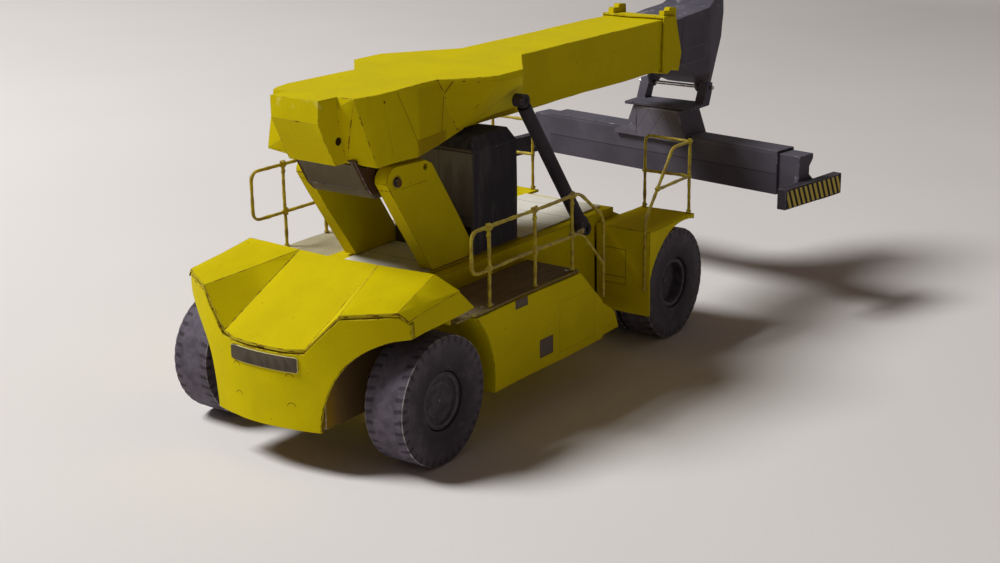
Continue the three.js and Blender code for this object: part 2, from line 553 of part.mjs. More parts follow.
// the head is a folded box that narrows to the front and carries two ears below it
const HEAD_FRONT = 207;
function boomHead() {
  const [, high] = INNER_Z;
  const half = INNER_HALF;
  const rear = INNER_FRONT + SEAM;
  const back = faceted([
    [rear, half, high + 0.3], [rear, half, 77.3], [186, half, 69.8], [191, half, 69], [191, half, 94]]);
  const nose = faceted([
    [190.5, half, 94], [190.5, half, 68.6], [186, half, 69.8], [194, 8.4, 66.6], [204.6, 6.8, 82],
    [HEAD_FRONT, 6.2, 90], [205.5, 6.5, 96.6], [196, 8.6, 96.2]]);
  const ears = SIDES.map(([, side]) => sideCut(outline([
    [TILT_PIN[0] - 5, TILT_PIN[1] + 6], [TILT_PIN[0] - 2.6, TILT_PIN[1] - 0.6], [TILT_PIN[0] - 1.2, TILT_PIN[1] - 1.6],
    [TILT_PIN[0] + 1.4, TILT_PIN[1] - 1.6], [TILT_PIN[0] + 5, TILT_PIN[1] + 1], [TILT_PIN[0] + 6, TILT_PIN[1] + 6]]),
    ...across(side, half - CARD, half)));
  const hole = barY(TILT_PIN_R + PIN_CLEAR, ...TILT_PIN, -half - 1, half + 1);
  return cut(join(back, nose, ...ears), hole);
}

add("boom_outer", boomOuter(), YELLOW);
add("boom_foot", boomFoot(), GREY);
add("boom_collar", boomCollar(), YELLOW);
add("boom_inner", boomInner(), GREY);
add("boom_head", boomHead(), GREY);
const pivotHead = TOWER_IN + TOWER_T + 0.9;
add("pivot_pin", barY(PIVOT_PIN_R, ...PIVOT, -pivotHead, pivotHead), GREY);

// ---------------------------------------------------------------- lift cylinders

const liftRun = new THREE.Vector3(LIFT_TOP[0] - LIFT_FOOT[0], 0, LIFT_TOP[1] - LIFT_FOOT[1]);
const LIFT_LENGTH = liftRun.length();
const liftTurn = new THREE.Quaternion().setFromUnitVectors(new THREE.Vector3(0, 0, 1), liftRun.clone().normalize());

function barrel() {
  const tube = new THREE.LatheGeometry([[0, 2.6], [BARREL_R, 2.6], [BARREL_R, BARREL_L], [ROD_R + 0.2, BARREL_L],
    [ROD_R + 0.2, 4], [0, 4]].map(([a, b]) => new THREE.Vector2(a, b)), 32).rotateX(Math.PI / 2);
  const eye = join(barY(BARREL_R, 0, 0, -1.8, 1.8), block(-BARREL_R + 0.2, BARREL_R - 0.2, -1.8, 1.8, 0, 4));
  return cut(join(tube, eye), barY(0.9, 0, 0, -3, 3));
}
const ROD_FOOT = 4.4;                          // the rod's lower end, up the bore
function rod() {
  const bar = new THREE.CylinderGeometry(ROD_R, ROD_R, LIFT_LENGTH - ROD_FOOT, 16)
    .rotateX(Math.PI / 2).translate(0, 0, (LIFT_LENGTH + ROD_FOOT) / 2);
  const eye = barY(1.9, 0, LIFT_LENGTH, -1.9, 1.9);
  const pin = barY(0.7, 0, LIFT_LENGTH, -2.6, 2.6, 16);
  return join(bar, eye, pin);
}
for (const [name, side] of SIDES) {
  const place = new THREE.Group();
  place.position.set(LIFT_FOOT[0], side * LIFT_Y, LIFT_FOOT[1]);
  place.quaternion.copy(liftTurn);
  truck.add(place);
  add(`lift_barrel_${name}`, barrel(), DARK, place);
  add(`lift_rod_${name}`, rod(), DARK, place);
  // a pin from the hull's side carries the cylinder's foot
  add(`lift_foot_pin_${name}`, barY(0.6, ...LIFT_FOOT, ...across(side, HULL_HALF + SEAM, LIFT_Y + 2.4), 16), DARK);
}

// ---------------------------------------------------------------- spreader

const YOKE_IN = INNER_HALF + GAP;              // the yoke's arms stand outside the head
const YOKE_T = 3.4;
const PIN_OUT = YOKE_IN + YOKE_T + 1.2;
add("tilt_pin", barY(TILT_PIN_R, ...TILT_PIN, -PIN_OUT, PIN_OUT, 16), CHROME);

const HOUSING_TOP = 61;
function tiltYoke() {
  const arm = (y0, y1) => sideCut(outline([
    [TILT_PIN[0] - 1.8, TILT_PIN[1] + 1.6], [TILT_PIN[0] + 1.8, TILT_PIN[1] + 1.6],
    [TILT_PIN[0] + 1.4, TILT_PIN[1] - 2], [SPREADER_X + 6.4, HOUSING_TOP + GAP], [SPREADER_X + 1.5, HOUSING_TOP + GAP]]), y0, y1);
  const arms = SIDES.map(([, side]) => arm(...across(side, YOKE_IN, YOKE_IN + YOKE_T)));
  const base = block(SPREADER_X - 6, SPREADER_X + 6.4, -YOKE_IN - YOKE_T, YOKE_IN + YOKE_T, HOUSING_TOP + GAP, HOUSING_TOP + GAP + 1);
  const hole = barY(TILT_PIN_R + PIN_CLEAR, ...TILT_PIN, -PIN_OUT, PIN_OUT);
  return cut(join(...arms, base), hole);
}
add("tilt_yoke", tiltYoke(), GREY);

// everything below the yoke turns with the spreader, about its middle
const spreader = new THREE.Group();
spreader.position.set(SPREADER_X, 0, 0);
spreader.rotation.z = SPREADER_YAW;
truck.add(spreader);

const [BEAM_LOW, BEAM_HIGH] = BEAM_Z;
function rotatorHousing() {
  const front = BEAM_DEPTH / 2 + 1.6;
  const rear = -front;
  const low = BEAM_HIGH - 2.6;
  const corners = [];
  for (const x of [rear, front]) {
    for (const side of [1, -1]) {
      corners.push(new THREE.Vector3(x * 0.94, side * 9.6, HOUSING_TOP), new THREE.Vector3(x, side * 13.4, low));
    }
  }
  const straddle = block(-BEAM_DEPTH / 2 - 0.2, BEAM_DEPTH / 2 + 0.2, -30, 30, BEAM_LOW, BEAM_HIGH + SEAM);
  // a gusset runs out along the beam on the left
  const gusset = [];
  for (const x of [rear, front]) {
    for (const [y, z] of [[8, low + 4.5], [12, low + 3.7], [17.8, low + 1.3], [17.8, low], [8, low]]) gusset.push(new THREE.Vector3(x, y, z));
  }
  return cut(join(new ConvexGeometry(corners), new ConvexGeometry(gusset)), straddle);
}
function mainBeam() {
  const tube = block(-BEAM_DEPTH / 2, BEAM_DEPTH / 2, -BEAM_HALF, BEAM_HALF, BEAM_LOW, BEAM_HIGH);
  const half = BEAM_DEPTH / 2 - ARM_WALL;
  const bores = SIDES.map(([, side]) => block(-half, half, ...across(side, 1, BEAM_HALF + 1),
    BEAM_LOW + ARM_WALL, BEAM_HIGH - ARM_WALL));
  return cut(tube, ...bores);
}
add("rotator_housing", rotatorHousing(), GREY, spreader);
add("main_beam", mainBeam(), GREY, spreader);
for (const [name, side] of SIDES) {
  const half = BEAM_DEPTH / 2 - ARM_WALL - ARM_CLEAR;
  const [low, high] = [BEAM_LOW + ARM_WALL + ARM_CLEAR, BEAM_HIGH - ARM_WALL - ARM_CLEAR];
  const arm = block(-half, half, ...across(side, 3, ARM_OUT), low, high);
  // its end is waisted in front and stands on a bracket that spreads to the end beam
  const waist = sideCut(outline([[half + 1, high - 0.6], [half - 2, high - 4], [half - 2, low - 1], [half + 1, low - 1]]),
    ...across(side, BEAM_HALF + GAP, ARM_OUT + 1));
  const bracket = sideCut(outline([[-half, low + 6], [half - 1.8, low + 6], [half + 3.4, low + 1.8], [half + 3.4, low],
    [-half - 2, low], [-half - 2, low + 2]]), ...across(side, ARM_OUT - 1.4, ARM_OUT));
  add(`spreader_arm_${name}`, join(cut(arm, waist), bracket), GREY, spreader);
  const end = block(-END_L / 2, END_L / 2, ...across(side, ARM_OUT + SEAM, END_OUT), ...END_Z);
  add(`end_beam_${name}`, end, DARK, spreader);
}

// ---------------------------------------------------------------- railings

const RAIL_TOP = { left: 24.4, right: 21.9 };   // side railing: its top rail, above the deck
const RAIL_MID = 10.3;        // and its middle rail
const RAIL_REAR = { left: 11.7, right: 15 };
const RAIL_POST = { left: 25, right: 22.8 };    // the first post
const RAIL_BEND = 66;         // where the top rail starts to slope down
const LOOP_TOP = 62.1;        // front railing: top and middle rails
const LOOP_MID = 50.8;
const LOOP_LEAN = 16.4;       // how far its rear wire leans forward
const LOOP_IN = TANK_IN + 1.6;
const LOOP_FRONT = FENDER_FRONT - 1;

for (const [name, side] of SIDES) {
  const y = side * (BODY_HALF - 2 * WIRE_R);
  const foot = DECK_Z[name] + SEAM;
  const top = DECK_Z[name] + RAIL_TOP[name];
  const rear = RAIL_REAR[name];
  const mid = DECK_Z[name] + RAIL_MID;
  const endX = TANK_FRONT + 3 * WIRE_R;        // the sloping rails come down on the step box
  const posts = [RAIL_POST[name], (rear + DECK_FRONT) / 2 + 4, DECK_FRONT - 2.4];
  add(`side_railing_${name}`, join(
    wire([[posts[0], y, mid], [rear, y, mid], [rear, y, top], [posts[0], y, top],
      [RAIL_BEND, y, top], [endX, y, top - 9.8], [endX, y, STEP_TOP + 0.6]]),
    wire([[posts[0] - 2, y, mid], [RAIL_BEND + 1, y, mid], [endX, y, mid - 12.3]]),
    ...posts.map((x) => wire([[x, y, foot], [x, y, top]]))), YELLOW);

  // one wire climbs the outside of the fender's rear panel, leans forward and turns across its front
  const outer = side * (FENDER_HALF - 1.4);
  const inner = side * LOOP_IN;
  const back = FENDER_REAR - SEAM - WIRE_R;
  const fender = FENDER_TOP + SEAM;
  const knee = fender + 3.5;
  const leanX = (z) => back + LOOP_LEAN * (z - knee) / (LOOP_TOP - knee);
  add(`front_railing_${name}`, join(
    wire([[back, outer, FLOOR_Z + 8], [back, outer, knee], [leanX(LOOP_TOP), outer, LOOP_TOP],
      [LOOP_FRONT, outer, LOOP_TOP], [LOOP_FRONT, inner, LOOP_TOP], [LOOP_FRONT, inner, fender]], WIRE_R),
    wire([[leanX(LOOP_MID), outer, LOOP_MID], [LOOP_FRONT, outer, LOOP_MID], [LOOP_FRONT, inner, LOOP_MID]], WIRE_R),
    wire([[LOOP_FRONT, outer, fender], [LOOP_FRONT, outer, LOOP_TOP]])), YELLOW);
}

export default model;
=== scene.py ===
# %% [markdown]
# A card scale model of a reach stacker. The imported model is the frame, and every piece rides
# on one of its bodies. Each card piece is a copy of its solid with its folds and cut edges
# worked up, and each wheel is placed from its box. Wire, the glued seam, drops of glue and
# printed marks follow routes given in millimetres in the truck's own frame.

# %% Load the frame
import json
import math

import bmesh
import bpy
import numpy as np
from mathutils import Matrix, Vector

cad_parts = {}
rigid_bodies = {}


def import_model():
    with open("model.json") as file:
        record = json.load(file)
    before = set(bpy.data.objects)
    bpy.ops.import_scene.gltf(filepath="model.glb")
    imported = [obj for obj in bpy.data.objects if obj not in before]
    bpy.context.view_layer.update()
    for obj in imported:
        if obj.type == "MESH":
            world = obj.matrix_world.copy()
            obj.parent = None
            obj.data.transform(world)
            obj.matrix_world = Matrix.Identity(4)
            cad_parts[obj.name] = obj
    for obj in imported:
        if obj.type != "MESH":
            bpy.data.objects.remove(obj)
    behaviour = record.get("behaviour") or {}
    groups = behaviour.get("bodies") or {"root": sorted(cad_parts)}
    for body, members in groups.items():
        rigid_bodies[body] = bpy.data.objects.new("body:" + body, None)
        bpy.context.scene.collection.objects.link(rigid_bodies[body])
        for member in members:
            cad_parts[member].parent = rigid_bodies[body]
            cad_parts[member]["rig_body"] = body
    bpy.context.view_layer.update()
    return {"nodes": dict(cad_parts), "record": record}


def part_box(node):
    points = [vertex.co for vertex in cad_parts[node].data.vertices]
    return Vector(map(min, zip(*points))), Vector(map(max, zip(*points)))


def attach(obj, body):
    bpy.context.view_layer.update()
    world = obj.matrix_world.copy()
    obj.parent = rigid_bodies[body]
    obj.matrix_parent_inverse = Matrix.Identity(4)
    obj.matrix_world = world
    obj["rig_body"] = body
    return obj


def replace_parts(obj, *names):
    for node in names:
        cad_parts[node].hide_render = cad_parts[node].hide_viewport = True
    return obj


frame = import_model()
node_slot = {part["node"]: part["material_slot"] for part in frame["record"]["subparts"]}

# %% [markdown]
# The camera stands low behind the right rear corner and looks along the truck. It is made
# first, because every later choice is judged through it. The truck's own frame has its origin
# on the ground under the rear axle, in millimetres, so all lengths below read as a maker
# would measure them on the model.

# %% The truck's own frame and the camera
MM = 0.001
AXLE_HEIGHT = 17.5
_low, _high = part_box("rear_axle")
ORIGIN = np.array((_low + _high) / 2) / MM - np.array([0, 0, AXLE_HEIGHT])


def at(points):
    """Points in the truck's own frame, in mm, moved into the row frame, in metres."""
    return (np.asarray(points, float) + ORIGIN) * MM


def camera(place, heading, pitch, roll, lens):
    """A camera turned by heading about Z from +X, then by pitch, then by roll about its view."""
    data = bpy.data.cameras.new("camera")
    data.sensor_width, data.lens, data.clip_start = 36, lens, 0.01
    eye = bpy.data.objects.new("camera", data)
    bpy.context.scene.collection.objects.link(eye)
    turn = (Matrix.Rotation(math.radians(heading - 90), 4, "Z")
            @ Matrix.Rotation(math.radians(90 + pitch), 4, "X")
            @ Matrix.Rotation(math.radians(roll), 4, "Z"))
    eye.matrix_world = Matrix.Translation(Vector(place)) @ turn
    bpy.context.scene.camera = eye
    return eye


camera(at([-319.97, -286.49, 173.18]), 35.685, -16.996, -0.73, 60.6)
print("truck frame's origin in mm", np.round(ORIGIN, 2).tolist())

# %% [markdown]
# Finishes are node trees, and most of their maths is masks: a line is where a coordinate is
# near a value, a printed panel is the product of two such masks. Written as expressions they
# read like arithmetic, so a small class wraps a socket and adds Math nodes as it is used.

# %% A socket that takes part in arithmetic


class Value:
    def __init__(self, finish, socket):
        self.finish, self.socket = finish, socket

    def math(self, operation, *others):
        inputs = dict(enumerate((self, *others)))
        return self.finish.node("Math", {"operation": operation}, inputs)

    def __add__(self, other):
        return self.math("ADD", other)

    def __sub__(self, other):
        return self.math("SUBTRACT", other)

    def __mul__(self, other):
        return self.math("MULTIPLY", other)

    def __truediv__(self, other):
        return self.math("DIVIDE", other)

    def __rsub__(self, other):
        return self.finish.node("Math", {"operation": "SUBTRACT"}, {0: other, 1: self})

    def __abs__(self):
        return self.math("ABSOLUTE")

    __radd__, __rmul__ = __add__, __mul__

    def step(self, low, high):
        """0 below low, 1 above high and a smooth S between them; low may be the larger."""
        return self.finish.node("MapRange", {"interpolation_type": "SMOOTHSTEP"},
                                {"Value": self, "From Min": low, "From Max": high})

    def near(self, middle, half, soft=0.06):
        """1 where the value is within half of middle, with an edge soft wide."""
        return abs(self - middle).step(half + soft, half - soft)

    def saw(self, pitch, start=0.0):
        """How far the value has gone in its own repeat of pitch, from 0 to 1."""
        return ((self - start) / pitch).math("FRACT")

    def any(self, other):
        return self.math("MAXIMUM", other)


# %% [markdown]
# A finish holds one material. One method adds a node of any kind, so that every tree is
# built the same way and a reader only has to learn that call.

# %% A finish: one material and the nodes it is made of


class Finish:
    def __init__(self, name, roughness=0.7):
        self.material = bpy.data.materials.new(name)
        self.material.use_nodes = True
        self.tree = self.material.node_tree
        self.tree.nodes.clear()
        self.shader = self.tree.nodes.new("ShaderNodeBsdfPrincipled")
        out = self.tree.nodes.new("ShaderNodeOutputMaterial")
        self.tree.links.new(self.shader.outputs[0], out.inputs[0])
        self.shader.inputs["Roughness"].default_value = roughness

    def plug(self, socket, value):
        if isinstance(value, Value):
            self.tree.links.new(value.socket, socket)
        elif hasattr(value, "__len__") and socket.type == "RGBA" and len(value) == 3:
            socket.default_value = (*value, 1)
        else:
            socket.default_value = value

    def node(self, kind, settings=None, inputs=None, out=0):
        """One node of any kind: its settings first, then the values or links of its sockets."""
        made = self.tree.nodes.new("ShaderNode" + kind)
        for key, value in (settings or {}).items():
            setattr(made, key, value)
        for key, value in (inputs or {}).items():
            self.plug(made.inputs[key], value)
        return Value(self, made.outputs[out])

    def set(self, **values):
        for key, value in values.items():
            self.plug(self.shader.inputs[key.replace("_", " ")], value)
        return self

    def mix(self, share, one, other):
        """Colour one where share is 0, the other where it is 1."""
        return self.node("Mix", {"data_type": "RGBA"}, {0: share, 6: one, 7: other}, out=2)

    def place(self):
        """The point on the piece in the truck's own frame, in mm."""
        point = self.node("TexCoord", out="Object")
        return self.node("VectorMath", {"operation": "MULTIPLY_ADD"},
                         {0: point, 1: (1 / MM,) * 3, 2: tuple(-ORIGIN)})

    def split(self, vector):
        made = self.node("SeparateXYZ", inputs={0: vector})
        return [Value(self, socket) for socket in made.socket.node.outputs]

    def noise(self, vector, size, detail=2.0, rough=0.5):
        """Cloudy noise from 0 to 1 whose patches are about size mm across."""
        return self.node("TexNoise", inputs={"Vector": vector, "Scale": 1 / size, "Detail": detail,
                                             "Roughness": rough})

    def bump(self, height, distance, strength=1.0, under=None):
        inputs = {"Height": height, "Distance": distance * MM, "Strength": strength}
        if under is not None:
            inputs["Normal"] = under
        return self.node("Bump", inputs=inputs)


def linear(red, green, blue):
    """A colour from 0 to 255 as written for a screen, turned into linear light."""
    c = np.array([red, green, blue]) / 255
    return tuple(np.where(c <= 0.04045, c / 12.92, ((c + 0.055) / 1.055) ** 2.4).tolist())


# %% [markdown]
# Every card here is printed and satin: soft patches where the ink took unevenly, fine paper fibre that shows
# in the bump, and the odd dark speck. One function gives that ground, and each piece's marks are laid over it
# as masks with a colour each: most are print, and a few are painted shade and painted light.

# %% Printed card


def card(name, ink, marks=None, cloudy=0.03, roughness=0.72, specks=0.5, buckle=0.25, gloss=0.07):
    """Card printed in one ink. marks(finish, x, y, z) lists (mask, colour) laid over it."""
    finish = Finish(name)
    point = finish.place()
    x, y, z = finish.split(point)
    patch = finish.noise(point, 13, 3)
    fibre = finish.noise(point, 0.45, 3, 0.6)
    dark = tuple(c * (1 - 2 * cloudy) for c in ink)
    light = tuple(min(1, c * (1 + cloudy)) for c in ink)
    colour = finish.mix(patch.step(0.3, 0.7), dark, light)
    colour = finish.mix(fibre.step(0.4, 0.75) * 0.16, colour, tuple(c * 0.55 for c in ink))
    if specks:
        dots = finish.noise(point, 1.3, 1, 0.4).step(0.77, 0.80) * specks
        colour = finish.mix(dots, colour, tuple(c * 0.35 for c in ink))
    for mask, over in (marks(finish, x, y, z) if marks else []):
        colour = finish.mix(mask, colour, over)
    ground = finish.bump(finish.noise(point, 12, 1, 0.4), buckle, 0.8)
    finish.set(Base_Color=colour, Roughness=patch * 0.16 + (roughness - 0.08), Specular_IOR_Level=gloss,
               Normal=finish.bump(fibre, 0.035, 0.6, ground))
    return finish.material


def cut_edge(name, ink, white=0.40, dark=0.34, size=2.4, pale=(232, 229, 200), dirt=(62, 48, 10)):
    """The rim of a cut or folded card: its ink with worn pale and dirty dark dashes."""
    finish = Finish(name, 0.8)
    dash = finish.noise(finish.place(), size, 3, 0.65)
    colour = finish.mix(dash.step(1 - white, 1.04 - white), ink, linear(*pale))
    colour = finish.mix(dash.step(dark + 0.06, dark), colour, linear(*dirt))
    finish.set(Base_Color=colour, Specular_IOR_Level=0.2)
    return finish.material


def shade(ink, share):
    return tuple(c * share for c in ink)


YELLOW_INK = linear(212, 194, 0)
LINE_INK = linear(96, 74, 4)
GREY_INK = linear(92, 88, 99)
DARK_INK = linear(58, 54, 60)
PAPER = linear(232, 230, 222)
print("inks", [tuple(round(c, 3) for c in ink) for ink in (YELLOW_INK, GREY_INK, DARK_INK)])

# %% [markdown]
# Printed marks are what makes a card model read as one: thin brown fold lines, a door, vents, rivets drawn as
# small arcs. Each is a mask from coordinates in the truck's frame. The places where the real model carries
# words are left bare. A few masks among them are painted shade or painted light instead of print, and each
# says so where it stands.

# %% Marks


def panel(u, v, low_u, high_u, low_v, high_v):
    """1 inside a rectangle of two coordinates."""
    return (u.near((low_u + high_u) / 2, (high_u - low_u) / 2)
            * v.near((low_v + high_v) / 2, (high_v - low_v) / 2))


def outline(u, v, low_u, high_u, low_v, high_v, line=0.3):
    """1 on the line round a rectangle: the rectangle less a smaller one."""
    inner = panel(u, v, low_u + line, high_u - line, low_v + line, high_v - line)
    return panel(u, v, low_u, high_u, low_v, high_v) - inner


def distance(u, v, at_u, at_v):
    """How far a point is from another, in two coordinates."""
    return ((u - at_u) * (u - at_u) + (v - at_v) * (v - at_v)).math("SQRT")


def slanted(u, v, start, end, half=0.16):
    """1 on a straight line from start to end: near its line, and between its ends' v."""
    (u0, v0), (u1, v1) = start, end
    run = math.hypot(u1 - u0, v1 - v0)
    across = (u - u0) * ((v1 - v0) / run) - (v - v0) * ((u1 - u0) / run)
    along = (u - u0) * ((u1 - u0) / run) + (v - v0) * ((v1 - v0) / run)
    return across.near(0, half) * along.near(run / 2, run / 2)


# %% Marks on the rear face, the tanks and the fenders
RIVETS = [(8.2, 26.0), (-9.7, 26.0), (7.7, 18.1), (-9.8, 18.1)]


def face_marks(finish, x, y, z):
    arcs = 0.0
    for at_y, at_z in RIVETS:
        ring = distance(y, z, at_y, at_z).near(1.25, 0.13, 0.08) * (z - at_z).step(0.1, 0.5)
        arcs = ring if arcs == 0.0 else arcs.any(ring)
    return [(arcs * 0.75, LINE_INK)]


VENTS = [(33.1, 39.0, 33.1, 35.7), (44.6, 51.2, 15.8, 21.1)]
DOOR = (54.5, 73.0, 14.5, 29.5)
GREY_VENT = linear(104, 92, 84)


def tank_marks(finish, x, y, z):
    outer = abs(y).step(37.5, 37.8)
    vents = panel(x, z, *VENTS[0]).any(panel(x, z, *VENTS[1]))
    return [(outlined(x, z, DOOR) * outer * 0.22, LINE_INK), (vents * outer, GREY_VENT),
            ((outline(x, z, *VENTS[0], 0.22).any(outline(x, z, *VENTS[1], 0.22))) * outer * 0.7,
             linear(64, 52, 40))]


def outlined(u, v, corners):
    return outline(u, v, *corners, 0.28)


LOCKER = (22.3, 30.6, 21.0, 32.4)


def fender_marks(finish, x, y, z):
    rear = x.step(102.9, 102.6)
    side = abs(y)
    lines = outlined(side, z, LOCKER).any(slanted(side, z, (22.3, 23.4), (30.6, 23.4)))
    return [(lines * rear * 0.65, LINE_INK)]


# %% Marks on the towers and the boom
TOWER_FOLD = ((13.6, 67.7), (24.2, 67.9))


def tower_marks(finish, x, y, z):
    outer = abs(y).step(15.5, 15.65)
    ring = distance(x, z, 11.6, 69.8).near(1.75, 0.3, 0.15)
    # The second pin hole is a dark disc: painted shade inside the hole.
    painted_hole_shade = distance(x, z, 23.8, 71.7).near(0, 0.95, 0.1)
    dashes = z.near(67.9, 0.15) * x.step(9.6, 9.0) * abs(y.saw(1.5) - 0.5).step(0.34, 0.28)
    fold = slanted(x, z, *TOWER_FOLD, 0.13) * outer
    return [(fold * 0.55, LINE_INK), (dashes * 0.8, linear(70, 46, 8)),
            (ring * outer * 0.5, linear(150, 120, 60)), (painted_hole_shade * outer, linear(24, 18, 10))]


HEEL_HOLE = (-2.0, 82.4)
WING_FOLDS = [((34.6, 93.4), (33.5, 79.2)), ((48.6, 78.4), (60.0, 88.3))]
SHOULDER_FOLDS = [((13.0, 93.6), (21.9, 77.2)), ((7.2, 92.6), (10.9, 76.9))]


def boom_marks(finish, x, y, z):
    side = abs(y)
    # The heel's hole is a dark disc: painted shade inside the hole.
    painted_hole_shade = distance(x, z, *HEEL_HOLE).near(0, 1.1, 0.12) * side.near(8.1, 1.6)
    dot = distance(x, z, 7.8, 91.7).near(0, 0.35, 0.1) * side.step(13, 14)
    folds = slanted(x, z, *WING_FOLDS[0], 0.2).any(slanted(x, z, *WING_FOLDS[1], 0.16) * 0.8)
    folds = folds.any(slanted(x, z, *SHOULDER_FOLDS[0], 0.16) * 0.7)
    folds = folds.any(slanted(x, z, *SHOULDER_FOLDS[1], 0.1) * 0.35)
    below = x.step(20.6, 21.6) * x.step(37, 35) * z.step(79.4, 79.1)
    behind = x.step(52, 54) * x.step(74, 71) * z.step(79.3, 79.0) * side.near(11, 0.5)
    lip = z.near(79.3, 0.12) * below.any(x.step(20.6, 21.6) * x.step(37, 35))
    flange = (below * 0.45).any(lip * 0.6)
    shaded = x.step(21, 23) * x.step(60, 46) * side.step(11.4, 12) * z.step(93.6, 92)
    scuff = (finish.noise(finish.place(), 3.2, 3, 0.6).step(0.56, 0.66) * x.step(-7.4, -8.6)
             * z.step(90.8, 92.8) * z.step(93.9, 93.6))
    drawn = folds * z.step(93.7, 93.5) * side.step(11.3, 11.6)
    return [(shaded * 0.30, linear(150, 124, 0)), (drawn * 0.75, LINE_INK),
            (flange.any(behind * 0.6) * side.step(10.5, 11), linear(112, 76, 8)),
            (scuff * 0.30, linear(240, 235, 150)), (painted_hole_shade, linear(36, 26, 4)), (dot, linear(70, 54, 4))]


# %% Marks on the counterweight, the hood and the cover


def box_painted_reflection(finish, x, y, z):
    """Painted reflection: the rear face's yellow light on the bare card, strongest towards the rear and
    fading with a ragged edge.
    """
    ragged = finish.noise(finish.place(), 6, 2) * 5
    return [((x + ragged).step(-13, -20) * 0.75, linear(158, 122, 10))]


def hood_marks(finish, x, y, z):
    """The underside is bare card: it shows where the surface looks down."""
    down = finish.node("Attribute", {"attribute_name": "down"}, out="Fac")
    return [(down.step(0.05, 0.3), linear(150, 140, 110))]


PLATE_PITCH = 10.35
PLATE_LAST = 103.1


def cover_marks(finish, x, y, z):
    cross = abs(x.saw(PLATE_PITCH, PLATE_LAST) - 0.5).step(0.4865, 0.492)
    joint = y.near(-2.2, 0.09, 0.05) * 0.5
    broken = finish.noise(finish.place(), 5, 2).step(0.36, 0.46) * 0.6 + 0.4
    return [(cross.any(joint) * broken * 0.8, linear(96, 92, 96)), *cover_border(finish, x, y, z)]


def cover_border(finish, x, y, z):
    """Beside the tower and the cab the cover's edge is printed like the hull."""
    return [(y.step(-15.3, -15.5) * x.step(68, 66), shade(YELLOW_INK, 0.8))]


# %% Marks on the decks and the cab
TREAD_PITCH = 1.5


def deck_marks(light):
    """Streaks, the tread plate's crossing ribs, and a painted pool of light on the rear end, in one light
    colour.
    """
    def marks(finish, x, y, z):
        streak = finish.noise(finish.node("VectorMath", {"operation": "MULTIPLY"},
                                          {0: finish.place(), 1: (0.12, 1.4, 1)}), 1.1, 2)
        rising = abs((x + y).saw(TREAD_PITCH) - 0.5).step(0.30, 0.36)
        falling = abs((x - y).saw(TREAD_PITCH) - 0.5).step(0.30, 0.36)
        # Painted light: the deck is lighter towards its rear end.
        wear_and_painted_light = x.step(30, 16) * 0.5
        return [(streak.step(0.42, 0.66) * 0.14, light), (rising * falling * 0.22, shade(light, 0.3)),
                (wear_and_painted_light, light)]
    return marks


def cab_marks(finish, x, y, z):
    streak = finish.noise(finish.node("VectorMath", {"operation": "MULTIPLY"},
                                      {0: finish.place(), 1: (1, 1, 0.22)}), 4.5, 4, 0.6)
    rear = x.step(43.6, 43.2)
    # Painted light: the rear face is lighter, more so towards its top.
    lit_rear_face = rear * (0.35 + z.step(50, 70) * 0.45)
    sill = z.near(53.3, 0.2) * rear
    seam = y.near(-5.2, 0.14) * rear
    return [(lit_rear_face, linear(130, 122, 104)), (streak.step(0.48, 0.66) * 0.35, linear(38, 35, 38)),
            (streak.step(0.44, 0.34) * 0.18, linear(112, 108, 104)),
            (sill.any(seam) * 0.4, linear(34, 32, 32))]


# %% Marks on the spreader
BEAM_CREASE = 45.2


def beam_marks(finish, x, y, z):
    # Painted shade: the face is darker below the crease.
    return [(z.step(BEAM_CREASE + 0.1, BEAM_CREASE - 0.1) * 0.25, linear(52, 48, 56)),
            (z.near(BEAM_CREASE, 0.16) * 0.7, linear(44, 40, 46)),
            (z.near(51.9, 0.12) * 0.3, linear(140, 136, 150))]


SPREADER_X = 178.5
SPREADER_YAW = math.radians(-8)


def spreader_frame(x, y):
    """Along the truck and across it, as the turned spreader has them."""
    c, s = math.cos(SPREADER_YAW), math.sin(SPREADER_YAW)
    return (x - SPREADER_X) * c + y * s, y * c - (x - SPREADER_X) * s


def end_beam_marks(finish, x, y, z):
    along, across = spreader_frame(x, y)
    outer = abs(across).step(60.7, 60.85) * along.near(0, 15.2) * z.near(40.3, 2.85)
    stripe = abs((along + z * 0.42).saw(2.6) - 0.5).step(0.22, 0.27)
    return [(outer, linear(44, 40, 38)), (outer * stripe, linear(196, 176, 84))]


HOUSING_LINES = [((9.4, 50.6), (3.0, 60.2)), ((-3.5, 60.2), (-9.4, 50.6)), ((-3.2, 50.6), (3.0, 60.2)),
                 ((3.4, 50.6), (-3.5, 60.2))]


def housing_marks(finish, x, y, z):
    along, across = spreader_frame(x, y)
    lines = slanted(across, z, *HOUSING_LINES[0])
    for start, end in HOUSING_LINES[1:]:
        lines = lines.any(slanted(across, z, start, end))
    return [(lines * along.step(-4.5, -5.2) * 0.35, linear(50, 46, 52)),
            (z.step(60.2, 60.7) * 0.5, linear(150, 146, 152))]


# %% Marks on the boom's foot and head


def foot_marks(finish, x, y, z):
    """Bare brown card at its ends, where the grey print stops."""
    torn = finish.noise(finish.place(), 2.4, 3, 0.6) * 1.6
    ends = (abs(y) + torn).step(10.4, 10.9)
    return [(ends * 0.9, linear(70, 44, 26)), (z.step(76.4, 77) * 0.6, linear(104, 66, 20)),
            (z.step(67.4, 66) * 0.35, linear(120, 112, 100))]


